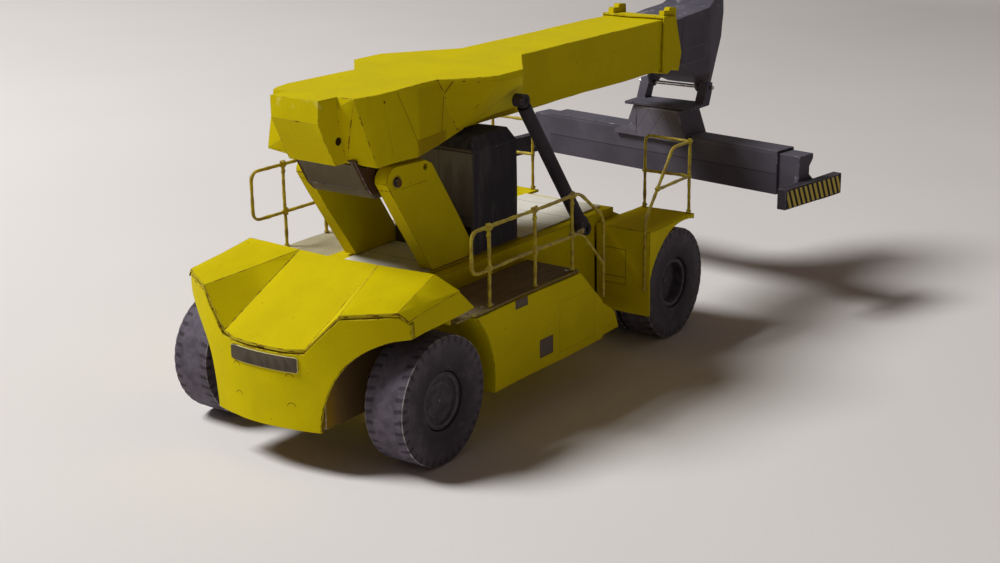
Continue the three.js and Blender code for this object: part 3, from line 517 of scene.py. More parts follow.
def head_marks(finish, x, y, z):
    side = abs(y).step(9.2, 9.4)
    scuff = finish.noise(finish.place(), 4, 4, 0.7).step(0.55, 0.68) * z.step(91.5, 93.0)
    # Painted shade: the side is dark low down, where the head's underside slopes in below it.
    return [(outlined(x, z, (174.5, 188.5, 76.5, 82.0)) * side * 0.3, linear(140, 136, 148)),
            (scuff * 0.5, linear(176, 172, 182)), (z.step(72.5, 70.5) * side * 0.6, linear(74, 56, 44))]


# %% [markdown]
# Each piece takes an ink and an edge from this short list. The real model has few: one
# yellow, greys that differ a little from sheet to sheet, white paper, and card left bare.

# %% Inks and edges for each piece
edge_yellow = cut_edge("yellow_card_edge", shade(YELLOW_INK, 0.62), 0.30, 0.40, 2.8, (214, 204, 90),
                       (120, 92, 6))
fold_yellow = cut_edge("yellow_card_fold", shade(YELLOW_INK, 0.60), 0.20, 0.44, 3.4, (206, 194, 40),
                       (118, 92, 6))
bright_yellow = cut_edge("yellow_card_bright_edge", shade(YELLOW_INK, 0.85), 0.26, 0.40, 3.0, (244, 236, 96),
                         (128, 100, 6))
seam_edge = cut_edge("seam_edge", shade(YELLOW_INK, 0.80), 0.16, 0.42, 3.2, (226, 216, 120), (128, 98, 4))
core = cut_edge("card_core", linear(190, 172, 30), 0.24, 0.40, 2.6, (222, 212, 120), (110, 84, 8))
edge_grey = cut_edge("grey_card_edge", shade(GREY_INK, 1.1), 0.40, 0.34, 3.0, (156, 152, 164), (38, 34, 38))
edge_dark = cut_edge("dark_card_edge", shade(DARK_INK, 1.0), 0.40, 0.30, 2.2, (126, 122, 124), (24, 20, 20))
cover_edge = card("cover_edge", linear(190, 184, 160), cover_border, 0.08)
edge_white = cut_edge("white_card_edge", linear(176, 168, 140), 0.4, 0.3, 2.4, (214, 208, 186), (110, 96, 62))
plate_rim = cut_edge("name_plate_rim", linear(226, 218, 150), 0.4, 0.1)


def yellow(name, marks=None, **more):
    return card(name + "_ink", YELLOW_INK, marks, **more)


def grey(name, marks=None, ink=GREY_INK):
    return card(name + "_ink", ink, marks, cloudy=0.10, specks=0.25)


def dark(name, marks=None, ink=DARK_INK):
    return card(name + "_ink", ink, marks, cloudy=0.12, specks=0.2)


plain_yellow = yellow("plain_yellow")
plain_grey = grey("plain_grey")
plain_dark = dark("plain_dark")
# The unprinted card is pale grey-beige; the box's dark brown ink is painted shade, and its marks paint the
# rear face's yellow reflection.
bare = card("bare_card_ink", linear(118, 94, 58), box_painted_reflection, cloudy=0.10, specks=0.2)
deck_left = card("deck_left_ink", linear(176, 168, 140), deck_marks(linear(206, 200, 176)), 0.06)
# The right deck's darker ink is painted shade: both decks are one light taupe card, and the right one lies in
# the boom's shadow.
deck_right = card("deck_right_shaded_ink", linear(112, 92, 66), deck_marks(linear(168, 156, 124)), 0.08)
tank = yellow("tank", tank_marks)
fender = card("fender_ink", linear(222, 203, 14), fender_marks)
tower = yellow("tower", tower_marks)
end_beam = dark("end_beam", end_beam_marks)
lift = dark("lift", ink=linear(68, 62, 68))
print("finishes", len(bpy.data.materials))

# %% [markdown]
# A folded card solid needs three things before it looks like card: a narrow facet along every
# fold and cut, rims that show the paper's core, and panels that are not quite flat. The solid
# is copied and its doubles merged, a Bevel gives the facets their own finish, planes cut the
# panels into a grid, and a slow wave moves the whole model alike, so glued pieces stay glued.

# %% From solid to folded card


def uneven(points):
    """Points in mm shifted by slow waves: each axis by a product of sines of the other two."""
    x, y, z = (points + np.array([3.0, 50.0, 7.0])).T
    wave = np.stack([np.sin(y / 8.3) * np.sin(z / 7.1 + 1), np.sin(x / 8.9) * np.sin(z / 6.3),
                     np.sin(x / 7.7 + 2) * np.sin(y / 6.9)], 1)
    ripple = np.stack([np.sin(y / 2.9 + z / 4.1), np.sin(x / 3.1 + z / 3.7), np.sin(x / 2.7 + y / 3.3)], 1)
    return points + 0.17 * wave + 0.06 * ripple


def own_mesh(node):
    """A merged copy of a CAD node's mesh, with its flat panels as single faces."""
    work = bmesh.new()
    work.from_mesh(frame["nodes"][node].data)
    bmesh.ops.remove_doubles(work, verts=work.verts, dist=2e-6)
    bmesh.ops.dissolve_limit(work, angle_limit=math.radians(0.5), verts=work.verts, edges=work.edges)
    bmesh.ops.dissolve_degenerate(work, edges=work.edges, dist=0.00012)
    mesh = bpy.data.meshes.new(node)
    work.to_mesh(mesh)
    work.free()
    return mesh


def put(name, mesh, body, slot, *materials):
    """A mesh as a piece that rides on a body."""
    for material in materials:
        mesh.materials.append(material)
    piece = bpy.data.objects.new(name, mesh)
    bpy.context.scene.collection.objects.link(piece)
    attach(piece, body)
    return piece


def facet(mesh, width, angle):
    """The mesh with a facet width mm wide along each edge sharper than angle, as material 1."""
    holder = bpy.data.objects.new("facet", mesh)
    bpy.context.scene.collection.objects.link(holder)
    bevel = holder.modifiers.new("facet", "BEVEL")
    bevel.width, bevel.segments, bevel.limit_method = width * MM, 1, "ANGLE"
    bevel.angle_limit, bevel.material = math.radians(angle), 1
    bevel.use_clamp_overlap = False
    bpy.context.view_layer.update()
    shaped = holder.evaluated_get(bpy.context.evaluated_depsgraph_get())
    made = bpy.data.meshes.new_from_object(shaped)
    bpy.data.objects.remove(holder)
    return made


def gridded(work, pitch):
    """Cuts the faces of a bmesh along planes square to each axis, pitch mm apart."""
    co = np.array([v.co for v in work.verts])
    for axis in range(3):
        normal = np.eye(3)[axis]
        for place in np.arange(co[:, axis].min(), co[:, axis].max(), pitch * MM)[1:]:
            bmesh.ops.bisect_plane(work, geom=work.verts[:] + work.edges[:] + work.faces[:],
                                   dist=1e-7, plane_co=normal * place, plane_no=normal)


STILL = {"pivot_pin", "front_axle", "boom_foot", "boom_inner", "main_beam", "name_plate", "tilt_yoke",
         "rear_axle"}


def folded(node, inks, width=0.18, angle=12, pitch=7.0, rim=0.45):
    """The CAD node as folded card: inks are its faces', its facets' and its rims' materials.

    A piece that slides or turns inside another, named in STILL, is not waved."""
    still = node in STILL or node.startswith(("spreader_arm", "lift_", "knuckle"))
    mesh = own_mesh(node)
    for material in inks:
        mesh.materials.append(material)
    # a rim is a face much narrower than it is long: twice its area over its outline is its width
    ends = np.array([v.co for v in mesh.vertices])
    for poly in mesh.polygons:
        loop = ends[list(poly.vertices)]
        length = np.linalg.norm(loop - np.roll(loop, 1, 0), axis=1).sum()
        if len(inks) > 2 and poly.area / length < rim * MM:
            poly.material_index = 2
    mesh = facet(mesh, width, angle)
    work = bmesh.new()
    work.from_mesh(mesh)
    if not still:
        gridded(work, pitch)
    bmesh.ops.triangulate(work, faces=work.faces)
    work.to_mesh(mesh)
    work.free()
    flat = np.empty(len(mesh.vertices) * 3)
    mesh.vertices.foreach_get("co", flat)
    points = flat.reshape(-1, 3)
    low, high = (np.array(corner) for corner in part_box(node))
    moved = points if still else uneven(points / MM) * MM
    mesh.vertices.foreach_set("co", np.clip(moved, low, high).ravel())
    mesh.polygons.foreach_set("use_smooth", np.ones(len(mesh.polygons), bool))
    mesh.set_sharp_from_angle(angle=math.radians(10))
    mesh.update()
    normals = np.empty(len(mesh.polygons) * 3)
    mesh.polygons.foreach_get("normal", normals)
    mesh.attributes.new("down", "FLOAT", "FACE").data.foreach_set("value", -normals[2::3])
    piece = put(node + "-card", mesh, frame["nodes"][node]["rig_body"], node_slot[node])
    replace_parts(piece, node)
    print(f"{node}-card: {len(mesh.polygons)} triangles")
    return piece


# %% [markdown]
# Every card piece is then one line: its faces' ink, its facets' and, where it shows, the
# paper's core on its rims. Left and right pieces share theirs.

# %% The card pieces
SIDES = ("left", "right")
INKS = {
    "rear_hood": (yellow("hood", hood_marks), fold_yellow, core),
    "counterweight_face": (yellow("face", face_marks), seam_edge, core),
    "counterweight_box": (bare, edge_white),
    "frame_hull": (plain_yellow, edge_yellow),
    "hull_cover": (card("cover_ink", PAPER, cover_marks, 0.03, specks=0.2), cover_edge),
    "name_plate": (dark("name_plate", ink=linear(86, 78, 66)), plate_rim),
    "side_deck_left": (deck_left, edge_white), "side_deck_right": (deck_right, edge_yellow),
    "boom_outer": (yellow("boom", boom_marks), bright_yellow),
    "boom_foot": (grey("boom_foot", foot_marks, linear(100, 92, 84)), edge_grey),
    "boom_collar": (plain_yellow, bright_yellow),
    "boom_head": (grey("head", head_marks), edge_grey),
    "cab": (dark("cab", cab_marks), edge_dark),
    "main_beam": (grey("beam", beam_marks), edge_grey),
    "rotator_housing": (grey("housing", housing_marks, linear(112, 107, 119)), edge_grey),
    "rear_axle": (plain_dark, edge_dark), "front_axle": (plain_dark, edge_dark),
    "tilt_yoke": (plain_grey, edge_grey), "boom_inner": (plain_grey, edge_grey),
    "pivot_pin": (card("pin_ink", linear(104, 78, 34)), edge_dark),
}
for _side in SIDES:
    INKS |= {
        f"side_tank_{_side}": (tank, edge_yellow), f"step_box_{_side}": (plain_yellow, edge_yellow),
        f"front_fender_{_side}": (fender, edge_yellow, core), f"boom_tower_{_side}": (tower, edge_yellow),
        f"spreader_arm_{_side}": (plain_grey, edge_grey), f"end_beam_{_side}": (end_beam, edge_grey),
        f"knuckle_{_side}": (plain_dark, edge_dark), f"lift_barrel_{_side}": (lift, edge_dark),
        f"lift_rod_{_side}": (lift, edge_dark), f"lift_foot_pin_{_side}": (lift, edge_dark),
    }
for _node, _inks in INKS.items():
    folded(_node, _inks)

# %% [markdown]
# One solid keeps its own shape: the tilt pin is a plain steel wire, so it only needs its finish, bright steel
# with a faint tarnish and a fine grain.

# %% The steel pin


def steel_finish():
    finish = Finish("bright_steel", 0.25)
    point = finish.place()
    cloud = finish.noise(point, 1.6, 3)
    finish.set(Base_Color=finish.mix(cloud.step(0.35, 0.7), linear(196, 192, 190), linear(150, 142, 136)),
               Metallic=1.0, Roughness=cloud * 0.2 + 0.14,
               Normal=finish.bump(finish.noise(point, 0.5, 2), 0.02, 0.5))
    return finish.material


_steel = steel_finish()
for _slot in frame["nodes"]["tilt_pin"].material_slots:
    _slot.material = _steel
print("tilt_pin has", len(frame["nodes"]["tilt_pin"].material_slots), "slot in", _steel.name)

# %% [markdown]
# A tyre of the real model is a stack of printed discs with a strip bent round them, so it is
# nearly a plain drum: crisp shoulders, flat walls, and lugs that are mostly ink. One lathe
# formula makes it as a closed grid, and the same ink masks cut shallow notches into it, so
# shape and print agree. Each wheel carries its own coordinates, so one finish serves them all.

# %% Wheels


def mesh_of(name, rings, closed_rings=True, closed_ring=True):
    """A quad surface from an array (rings, points, 3), joined round in one or both ways."""
    n, m = rings.shape[:2]
    i, j = np.meshgrid(np.arange(n if closed_rings else n - 1), np.arange(m if closed_ring else m - 1),
                       indexing="ij")
    k, l = (i + 1) % n, (j + 1) % m
    quads = np.stack([i * m + j, k * m + j, k * m + l, i * m + l], -1).reshape(-1, 4)
    mesh = bpy.data.meshes.new(name)
    mesh.vertices.add(n * m)
    mesh.vertices.foreach_set("co", np.ascontiguousarray(rings, dtype=np.float32).ravel())
    mesh.loops.add(quads.size)
    mesh.loops.foreach_set("vertex_index", quads.ravel().astype(np.int32))
    mesh.polygons.add(len(quads))
    mesh.polygons.foreach_set("loop_start", np.arange(0, quads.size, 4, dtype=np.int32))
    mesh.update(calc_edges=True)
    mesh.polygons.foreach_set("use_smooth", np.ones(len(quads), bool))
    mesh.set_sharp_from_angle(angle=math.radians(38))
    return mesh


def along(points, count):
    """A polyline resampled to count points, spaced evenly along it."""
    points = np.asarray(points, float)
    run = np.concatenate([[0], np.cumsum(np.linalg.norm(np.diff(points, axis=0), axis=1))])
    want = np.linspace(0, run[-1], count)
    return np.stack([np.interp(want, run, points[:, k]) for k in range(points.shape[1])], 1)


LUGS = 36


def turned(name, profile, centre, side, lugs=False, turns=288):
    """Lathe: each (radius, across) of the profile is swept round the wheel's axle.

    With lugs, the surface sinks by a rounded pulse of the angle, 36 to a turn, faded in with
    the radius on the walls, and with the distance from the shoulder on the tread."""
    a = np.linspace(0, 2 * math.pi, turns, endpoint=False)[:, None]
    r, v = profile[None, :, 0] + 0 * a, profile[None, :, 1] + 0 * a
    if lugs:
        half = np.abs(profile[:, 1]).max()
        phase = (a * LUGS / (2 * math.pi) + 0.35 * v / half) % 1
        pulse = np.clip(1.5 - np.abs(phase - 0.5) * 6.5, 0, 1)
        wall = np.clip((r - 14.7) / 0.5, 0, 1) * np.clip((17.9 - r) / 0.4, 0, 1)
        edge = np.clip((np.abs(v) - (half - 3.4)) / 0.7, 0, 1)
        r = r - 0.09 * pulse * wall * edge * (r > 16.9)
        v = v - 0.05 * np.sign(v) * pulse * wall * (np.abs(v) > half - 1.0)
        r = r + 0.05 * np.sin(3 * a + v) * (r > 15)
    own = np.stack([r * np.cos(a), v * side, r * np.sin(a)], -1)
    mesh = mesh_of(name, at(own + np.array(centre)))
    mesh.attributes.new("wheel", "FLOAT_VECTOR", "POINT").data.foreach_set(
        "vector", np.stack([r * np.cos(a), v, r * np.sin(a)], -1).astype(np.float32).ravel())
    if side < 0:
        mesh.flip_normals()
    return mesh


def tyre_profile(width):
    """A tyre's section as (radius, across): flat walls, a crisp shoulder and a level tread."""
    w, r = width / 2 - 0.05, 17.42
    outer = [(8.1, w - 0.5), (8.6, w - 0.12), (9.6, w - 0.05), (13, w), (15.6, w - 0.04), (16.9, w - 0.06),
             (17.3, w - 0.2), (r, w - 0.5)]
    loop = outer + [(a, -b) for a, b in outer[::-1]] + [outer[0]]
    return along(loop, 92)[:-1]


def hub_profile(width, dish):
    """From the drum's rim inwards: a level ring, a steep dish and a raised middle."""
    w = width / 2 - 0.5
    front = [(7.75, -w), (7.75, w - 0.1), (7.6, w), (6.75, w), (6.55, w - 0.15), (6.35, w - dish),
             (4.9, w - dish), (4.75, w - dish + 0.16), (4.45, w - dish + 0.16), (4.3, w - dish),
             (0.75, w - dish), (0.6, w - dish + 0.3), (0.02, w - dish + 0.3), (0.02, -w), (7.75, -w)]
    return along(front, 150)[:-1]


def wheel_frame(finish):
    """Across the wheel, the radius, and the angle as a share of one lug."""
    x, v, z = finish.split(finish.node("Attribute", {"attribute_name": "wheel"}, out="Vector"))
    radius = (x * x + z * z).math("SQRT")
    lug = z.math("ARCTAN2", x) * (LUGS / (2 * math.pi))
    return v, radius, lug


def tyre_finish(half):
    """Printed rubber: lugs dark at the edge of the wall and on both edges of the tread."""
    finish = Finish("tyre_ink")
    v, radius, lug = wheel_frame(finish)
    point = finish.place()
    phase = (lug + v * (0.35 / half)).math("FRACT")
    pulse = abs(phase - 0.5 + (finish.noise(point, 1.2, 2) - 0.5) * 0.25).step(0.24, 0.10)
    tread = radius.step(17.0, 17.2)
    out = abs(v)
    reach = finish.noise(point, 5, 2) * 1.6
    notch = tread * (out + reach).step(half - 2.4, half - 1.6)
    dash = (1 - tread) * radius.step(14.9, 15.9) * out.step(half - 1.4, half - 1.0)
    cloud = finish.noise(point, 3.4, 4, 0.65)
    # Painted shade: the wall is darker towards the hub.
    wall = finish.mix(radius.step(9, 16), linear(52, 47, 51), linear(88, 81, 88))
    colour = finish.mix(tread, wall, linear(102, 94, 106))
    colour = finish.mix(cloud.step(0.36, 0.66) * 0.5, colour, linear(44, 40, 44))
    colour = finish.mix((1 - cloud).step(0.55, 0.72) * 0.35, colour, linear(98, 92, 106))
    colour = finish.mix(pulse * (notch + dash) * 0.62, colour, linear(26, 22, 24))
    shoulder = radius.near(17.3, 0.14, 0.07) * out.step(half - 0.5, half - 0.3)
    wear_and_painted_light = finish.noise(point, 4, 3, 0.7).step(0.42, 0.56)
    colour = finish.mix(shoulder * (wear_and_painted_light * 0.75 + 0.2), colour, linear(176, 168, 168))
    fibre = finish.noise(point, 0.5, 2)
    finish.set(Base_Color=colour, Roughness=0.72, Specular_IOR_Level=0.2,
               Normal=finish.bump(fibre, 0.05, 0.7))
    return finish.material


def hub_finish():
    finish = Finish("hub_ink")
    radius = wheel_frame(finish)[1]
    point = finish.place()
    cloud = finish.noise(point, 2.6, 3)
    colour = finish.mix(cloud.step(0.35, 0.65), linear(56, 51, 56), linear(74, 68, 76))
    rings = radius.near(4.6, 0.16, 0.08).any(radius.near(6.7, 0.12, 0.08))
    colour = finish.mix(rings * cloud.step(0.3, 0.6) * 0.4, colour, linear(112, 106, 112))
    colour = finish.mix(radius.near(2.4, 0.1) * 0.35, colour, linear(90, 84, 92))
    colour = finish.mix(radius.near(0, 0.42, 0.1) * 0.6, colour, linear(130, 122, 122))
    finish.set(Base_Color=colour, Roughness=0.68, Specular_IOR_Level=0.25,
               Normal=finish.bump(finish.noise(point, 0.6, 2), 0.04, 0.7))
    return finish.material


def middle(node):
    low, high = (np.array(corner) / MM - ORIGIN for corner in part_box(node))
    return (low + high) / 2, (high - low)[1]


hub_ink = hub_finish()
tyre_inks = {}
for _side, _sign in (("left", 1), ("right", -1)):
    for _node in (f"rear_tyre_{_side}", f"front_tyre_outer_{_side}", f"front_tyre_inner_{_side}"):
        _centre, _width = middle(_node)
        _half = round(_width / 2 - 0.05, 2)
        tyre_inks.setdefault(_half, tyre_finish(_half))
        _mesh = turned(_node, tyre_profile(_width), _centre, _sign, lugs=True)
        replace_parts(put(_node + "-print", _mesh, frame["nodes"][_node]["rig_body"], node_slot[_node],
                        tyre_inks[_half]), _node)
    for _node, _dish in ((f"rear_hub_{_side}", 1.0), (f"front_hub_{_side}", 3.2)):
        _centre, _width = middle(_node)
        _mesh = turned(_node, hub_profile(_width, _dish), _centre, _sign, turns=144)
        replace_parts(put(_node + "-print", _mesh, frame["nodes"][_node]["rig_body"], node_slot[_node],
                        hub_ink), _node)
print("tyres", len(tyre_inks), "finishes; a tyre has", len(_mesh.polygons), "faces in its hub")

# %% [markdown]
# The railings are wire, bent by hand, glued at each crossing and painted thickly: they are
# never quite straight, and every joint is a blob. A swept circle whose radius wanders gives
# the paint, and rounded lumps give the joints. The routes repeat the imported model's.

# %% Railings
WIRE = 0.55
SPACING = 0.45


def rounded(points, radius):
    """A polyline with each corner turned into an arc-like bend, evenly resampled."""
    points = np.asarray(points, float)
    path = [points[0]]
    for before, corner, after in zip(points[:-2], points[1:-1], points[2:]):
        one, two = before - corner, after - corner
        reach = min(radius, np.linalg.norm(one) * 0.45, np.linalg.norm(two) * 0.45)
        start, end = (corner + reach * d / np.linalg.norm(d) for d in (one, two))
        t = np.linspace(0, 1, 7)[:, None]
        path += list((1 - t) ** 2 * start + 2 * t * (1 - t) * corner + t ** 2 * end)
    path.append(points[-1])
    length = np.linalg.norm(np.diff(path, axis=0), axis=1).sum()
    return along(path, max(6, int(length / SPACING)))


def swept(path, radius, seed, sides=12, wander=0.10):
    """Rings round a path: radius varies with length and angle, and the ends close to points."""
    n = len(path)
    ahead = np.gradient(path, axis=0)
    ahead /= np.linalg.norm(ahead, axis=1)[:, None]
    aside = np.cross(ahead, [0.13, 0.98, 0.17])
    aside /= np.linalg.norm(aside, axis=1)[:, None]
    third = np.cross(ahead, aside)
    s = np.arange(n)[:, None] * SPACING
    a = np.linspace(0, 2 * math.pi, sides, endpoint=False)[None, :]
    lump = (np.sin(s / 1.9 + seed) * np.sin(s / 0.8 + 2 * seed) + 0.5 * np.sin(s / 4.3 + a + seed)
            + 0.4 * np.sin(s / 1.1 + 2 * a))
    r = radius * (0.90 + wander * lump)
    r[[0, -1]] = 0.01
    bend = 0.14 * np.sin(s / 9 + seed * np.array([1.0, 1.7, 0.4])) * np.sin(s / (s[-1] + 1e-6) * math.pi)
    ring = (path + bend)[:, None] + r[..., None] * (np.cos(a)[..., None] * aside[:, None]
                                                    + np.sin(a)[..., None] * third[:, None])
    return ring


def blob(centre, size, seed):
    """A lump of paint: a ball stretched to size whose radius ripples over its surface."""
    u = np.linspace(0.02, math.pi - 0.02, 14)[:, None]
    a = np.linspace(0, 2 * math.pi, 20, endpoint=False)[None, :]
    d = np.stack([np.sin(u) * np.cos(a), np.sin(u) * np.sin(a), np.cos(u) + 0 * a], -1)
    r = 1 + 0.16 * np.sin(3 * d[..., 0] + 5 * d[..., 2] + seed) + 0.12 * np.sin(6 * d[..., 1] + 3 * seed)
    return np.asarray(centre) + d * r[..., None] * np.asarray(size)


def wire_finish():
    finish = Finish("painted_wire")
    point = finish.place()
    patch = finish.noise(point, 2.2, 3, 0.6)
    colour = finish.mix(patch.step(0.35, 0.65), linear(150, 124, 16), linear(190, 172, 20))
    colour = finish.mix(finish.noise(point, 1.1, 2).step(0.62, 0.68) * 0.5, colour, linear(88, 66, 14))
    finish.set(Base_Color=colour, Roughness=patch * 0.3 + 0.3, Specular_IOR_Level=0.4,
               Normal=finish.bump(finish.noise(point, 0.8, 2), 0.12, 0.8))
    return finish.material


def joined(name, grids, body, slot, material):
    """Several surfaces as one piece: each is closed round, and open along its length."""
    work = bmesh.new()
    for grid in grids:
        mesh = mesh_of(name, at(grid), closed_rings=False)
        work.from_mesh(mesh)
        bpy.data.meshes.remove(mesh)
    bmesh.ops.recalc_face_normals(work, faces=work.faces)
    mesh = bpy.data.meshes.new(name)
    work.to_mesh(mesh)
    work.free()
    return put(name, mesh, body, slot, material)


RAIL_Y = 36.9
MID_RAIL = 10.3
SLOPE_END = 79.15
DECK = {"left": 41.4, "right": 36.6}
TOP_RAIL = {"left": 24.4, "right": 21.9}
FIRST = {"left": 11.7, "right": 15.0}
POST = {"left": 25.0, "right": 22.8}
painted_wire = wire_finish()


def side_railing(side, sign):
    """The deck's railing: a loop of two rails, sloped down at the front, and three posts."""
    y, deck, rear = sign * RAIL_Y, DECK[side], FIRST[side]
    top, mid, end = deck + TOP_RAIL[side], deck + MID_RAIL, SLOPE_END
    posts = [POST[side], (rear + 65) / 2 + 4, 62.6]
    runs = [[(posts[0], y, mid), (rear, y, mid), (rear, y, top), (posts[0], y, top), (66, y, top),
             (end, y, top - 9.8), (end, y, 24.3)],
            [(posts[0] - 2, y, mid), (67, y, mid), (end, y, mid - 12.3)]]
    runs += [[(x, y, deck + 0.1), (x, y, top)] for x in posts]
    grids = [swept(rounded(run, 3.0), WIRE, k + sign) for k, run in enumerate(runs)]
    for k, x in enumerate(posts):
        grids += [blob((x + 0.2, y, top), (1.35, 0.85, 1.05), k), blob((x, y, mid), (1.1, 0.8, 1.2), k + 3),
                  blob((x, y, top - 2.2), (0.65, 0.62, 0.8), k + 5),
                  blob((x, y, deck + 0.45), (0.85, 0.7, 0.4), k + 7)]
    grids.append(blob((67.2, y, mid + 0.1), (1.5, 0.8, 0.7), 9))
    return grids


def front_railing(side, sign):
    """The loop over the fender: up the rear panel, forward, and across its front."""
    outer, back, fender, front = sign * 37.5, 101.65, 39.1, 128.3
    foot, bend, top, mid, reach = 20.3, 42.6, 62.1, 50.8, 16.4
    inner_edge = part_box(f"front_railing_{side}")[0 if sign > 0 else 1][1] / MM - ORIGIN[1]
    inner = round(inner_edge + sign * WIRE, 3)
    lean = back + reach * (mid - bend) / (top - bend)
    runs = [[(back, outer, foot), (back, outer, bend), (back + reach, outer, top), (front, outer, top),
             (front, inner, top), (front, inner, fender)],
            [(lean, outer, mid), (front, outer, mid), (front, inner, mid)],
            [(front, outer, fender), (front, outer, top)]]
    grids = [swept(rounded(run, 2.2), WIRE, k + 2 * sign) for k, run in enumerate(runs)]
    spots = [(front, outer, top), (front, outer, mid), (lean, outer, mid), (front, inner, mid),
             (back, outer, foot + 0.5), (front, outer, fender + 0.5), (front, inner, fender + 0.5)]
    for k, spot in enumerate(spots):
        grids.append(blob(spot, (0.8, 0.75, 0.85), k))
    return grids


for _side, _sign in (("left", 1), ("right", -1)):
    for _node, _grids in ((f"side_railing_{_side}", side_railing(_side, _sign)),
                          (f"front_railing_{_side}", front_railing(_side, _sign))):
        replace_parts(joined(_node + "-wire", _grids, frame["nodes"][_node]["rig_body"], node_slot[_node],
                           painted_wire), _node)
        print(_node + "-wire:", len(_grids), "runs and lumps")

# %% [markdown]
# The hood meets the rear face over tabs glued inside, which show in the seam as a brownish
# yellow bead. It is one thin sweep along the face's upper edge, under the hood's lip.

# %% The glued seam


def seam_route():
    """The hood's rear edge from left to right: straight between corners, bowed in the middle."""
    left = [(-12.7, 37.4, 42.0), (-14.1, 35.8, 43.9), (-22.0, 23.4, 43.4), (-24.7, 14, 33.4)]
    bow_radius, rearmost = 55, -27.3
    y = np.linspace(10, -10, 9)
    x = rearmost + bow_radius - np.sqrt(bow_radius ** 2 - y ** 2)
    bow = np.stack([x, y, 33.4 + (x + 24.7) * 0.49 + 0.9 * (1 - (y / 14) ** 2)], 1)
    right = [(a, -b, c) for a, b, c in left[::-1]]
    return along(np.vstack([left, bow, right]) + [0.65, 0, 0], 260)


_seam = swept(seam_route(), 0.48, 2.0, wander=0.10)
joined("hood_seam", [_seam], frame["nodes"]["rear_hood"]["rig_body"], "yellow_card",
       cut_edge("seam_bead", linear(182, 160, 4), 0.3, 0.42, 1.8, (220, 206, 40), (112, 84, 6)))

print("hood_seam", len(_seam), "rings round")

# %% [markdown]
# Where a post meets a deck the maker left drops of clear glue, which are the only glossy
# things on the model. They are small flattened lumps at the posts' feet and the deck's ends.

# %% Drops of glue


def glue_finish():
    finish = Finish("glue", 0.12)
    cloud = finish.noise(finish.place(), 1.2, 2)
    finish.set(Base_Color=finish.mix(cloud, linear(120, 104, 60), linear(186, 176, 140)),
               Roughness=cloud * 0.15 + 0.08, Specular_IOR_Level=0.7)
    return finish.material


GLUE_SPOTS = [(POST["right"] - 1.6, 1.3), (POST["right"] + 1.4, 0.4), (45.4, 0.9), (61.4, 1.1), (63.6, 0.5),
              (12.2, 3.4), (14.6, 1.8)]
_drops = [blob((x, inward - RAIL_Y, DECK["right"] + 0.15),
               (0.55 + 0.2 * (k % 3), 0.45 + 0.15 * (k % 2), 0.26), k)
          for k, (x, inward) in enumerate(GLUE_SPOTS)]
_drops += [blob((x, RAIL_Y - inward, DECK["left"] + 0.15), (0.6, 0.5, 0.26), k + 3)
           for k, (x, inward) in enumerate(GLUE_SPOTS[:5])]
joined("glue_drops", _drops, frame["nodes"]["side_deck_right"]["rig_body"], "steel_wire", glue_finish())
print("glue_drops", len(_drops), "drops")

# %% [markdown]
# The model stands on a plain pale sheet. One lamp lights a sheet unevenly, so far from the
# model the sheet would fade to a dark band. A camera ray therefore sees a little light added
# there, and sees the world as pale. Gloss and glass see the same, and nothing more falls on
# the model, so its colours and its shadow stay.

# %% Floor


def background_rays(tree):
    """The socket that is 1 for a ray from the camera, or one that gloss or glass sends on."""
    rays = tree.nodes.new("ShaderNodeLightPath")
    share = rays.outputs["Is Camera Ray"]
    for kind in ("Glossy", "Transmission"):
        either = tree.nodes.new("ShaderNodeMath")
        either.operation = "MAXIMUM"
        tree.links.new(share, either.inputs[0])
        tree.links.new(rays.outputs[f"Is {kind} Ray"], either.inputs[1])
        share = either.outputs[0]
    return share


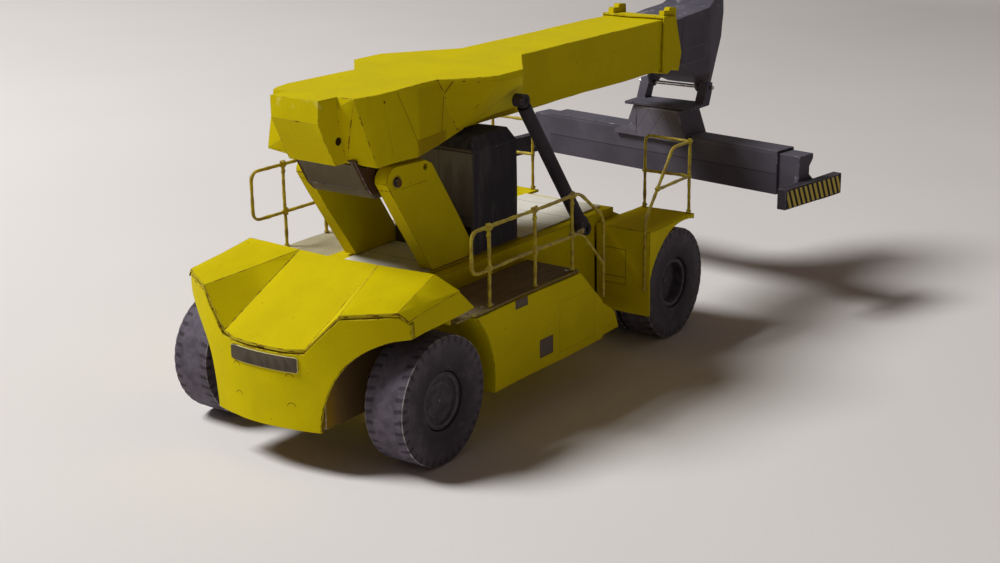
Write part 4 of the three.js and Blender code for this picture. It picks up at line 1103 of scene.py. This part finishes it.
def floor_finish():
    """Grained paper; what is added grows with the distance, and gently towards +Y."""
    finish = Finish("floor", 0.9)
    spot = finish.place()
    cloud, grain = finish.noise(spot, 160, 2), finish.noise(spot, 2.2, 3, 0.6)
    x, y, _ = finish.split(spot)
    far = distance(x, y, 60, 0).step(780, 1450) * 0.72
    side = (y - 150).math("MAXIMUM", 0.0).math("MINIMUM", 800.0) / 3400
    share = far.any(side) * Value(finish, background_rays(finish.tree))
    finish.set(Base_Color=finish.mix(cloud, linear(236, 232, 230), linear(244, 241, 238)),
               Specular_IOR_Level=0.1, Normal=finish.bump(grain, 0.10, 0.5),
               Emission_Color=finish.mix(share, (0, 0, 0), linear(250, 247, 244)), Emission_Strength=1.0)
    return finish.material


FLOOR_HALF = 4
_floor = bpy.data.meshes.new("floor")
_floor.from_pydata([(-FLOOR_HALF, -FLOOR_HALF, 0), (FLOOR_HALF, -FLOOR_HALF, 0),
                    (FLOOR_HALF, FLOOR_HALF, 0), (-FLOOR_HALF, FLOOR_HALF, 0)], [], [(0, 1, 2, 3)])
_floor.materials.append(floor_finish())
floor = bpy.data.objects.new("floor", _floor)
bpy.context.scene.collection.objects.link(floor)
print("floor", 2 * FLOOR_HALF, "m square")

# %% [markdown]
# One round lamp, high on the left and behind, throws the truck's soft shadow forward to its
# right. The world fills the shadows with a faint warm light, as a pale room does.

# %% Light


def lamp(name, towards, distance, size, energy):
    """A round lamp in a direction from the model, turned to face it."""
    data = bpy.data.lights.new(name, "AREA")
    data.shape, data.size, data.energy = "DISK", size, energy
    light = bpy.data.objects.new(name, data)
    bpy.context.scene.collection.objects.link(light)
    away = Vector(towards).normalized()
    light.location = Vector((0, 0, 0.04)) + away * distance
    light.rotation_euler = away.to_track_quat("Z", "Y").to_euler()


lamp("key", towards=(-0.39, 0.50, 0.78), distance=1.45, size=0.50, energy=18.9)
world = bpy.data.worlds.new("studio")
bpy.context.scene.world = world
world.use_nodes = True
_sky = world.node_tree
_fill, _pale = _sky.nodes["Background"], _sky.nodes.new("ShaderNodeBackground")
_fill.inputs["Color"].default_value, _fill.inputs["Strength"].default_value = (1, 0.72, 0.58, 1), 0.072
_pale.inputs["Color"].default_value = (*linear(228, 225, 223), 1)
_either = _sky.nodes.new("ShaderNodeMixShader")
for _from, _to in zip((background_rays(_sky), _fill.outputs[0], _pale.outputs[0]), _either.inputs):
    _sky.links.new(_from, _to)
_sky.links.new(_either.outputs[0], _sky.nodes["World Output"].inputs[0])
print("lamps", len(bpy.data.lights))

# %% [markdown]
# The view shows colours as they are written, with the Standard transform.

# %% Finish
bpy.context.scene.view_settings.view_transform = "Standard"
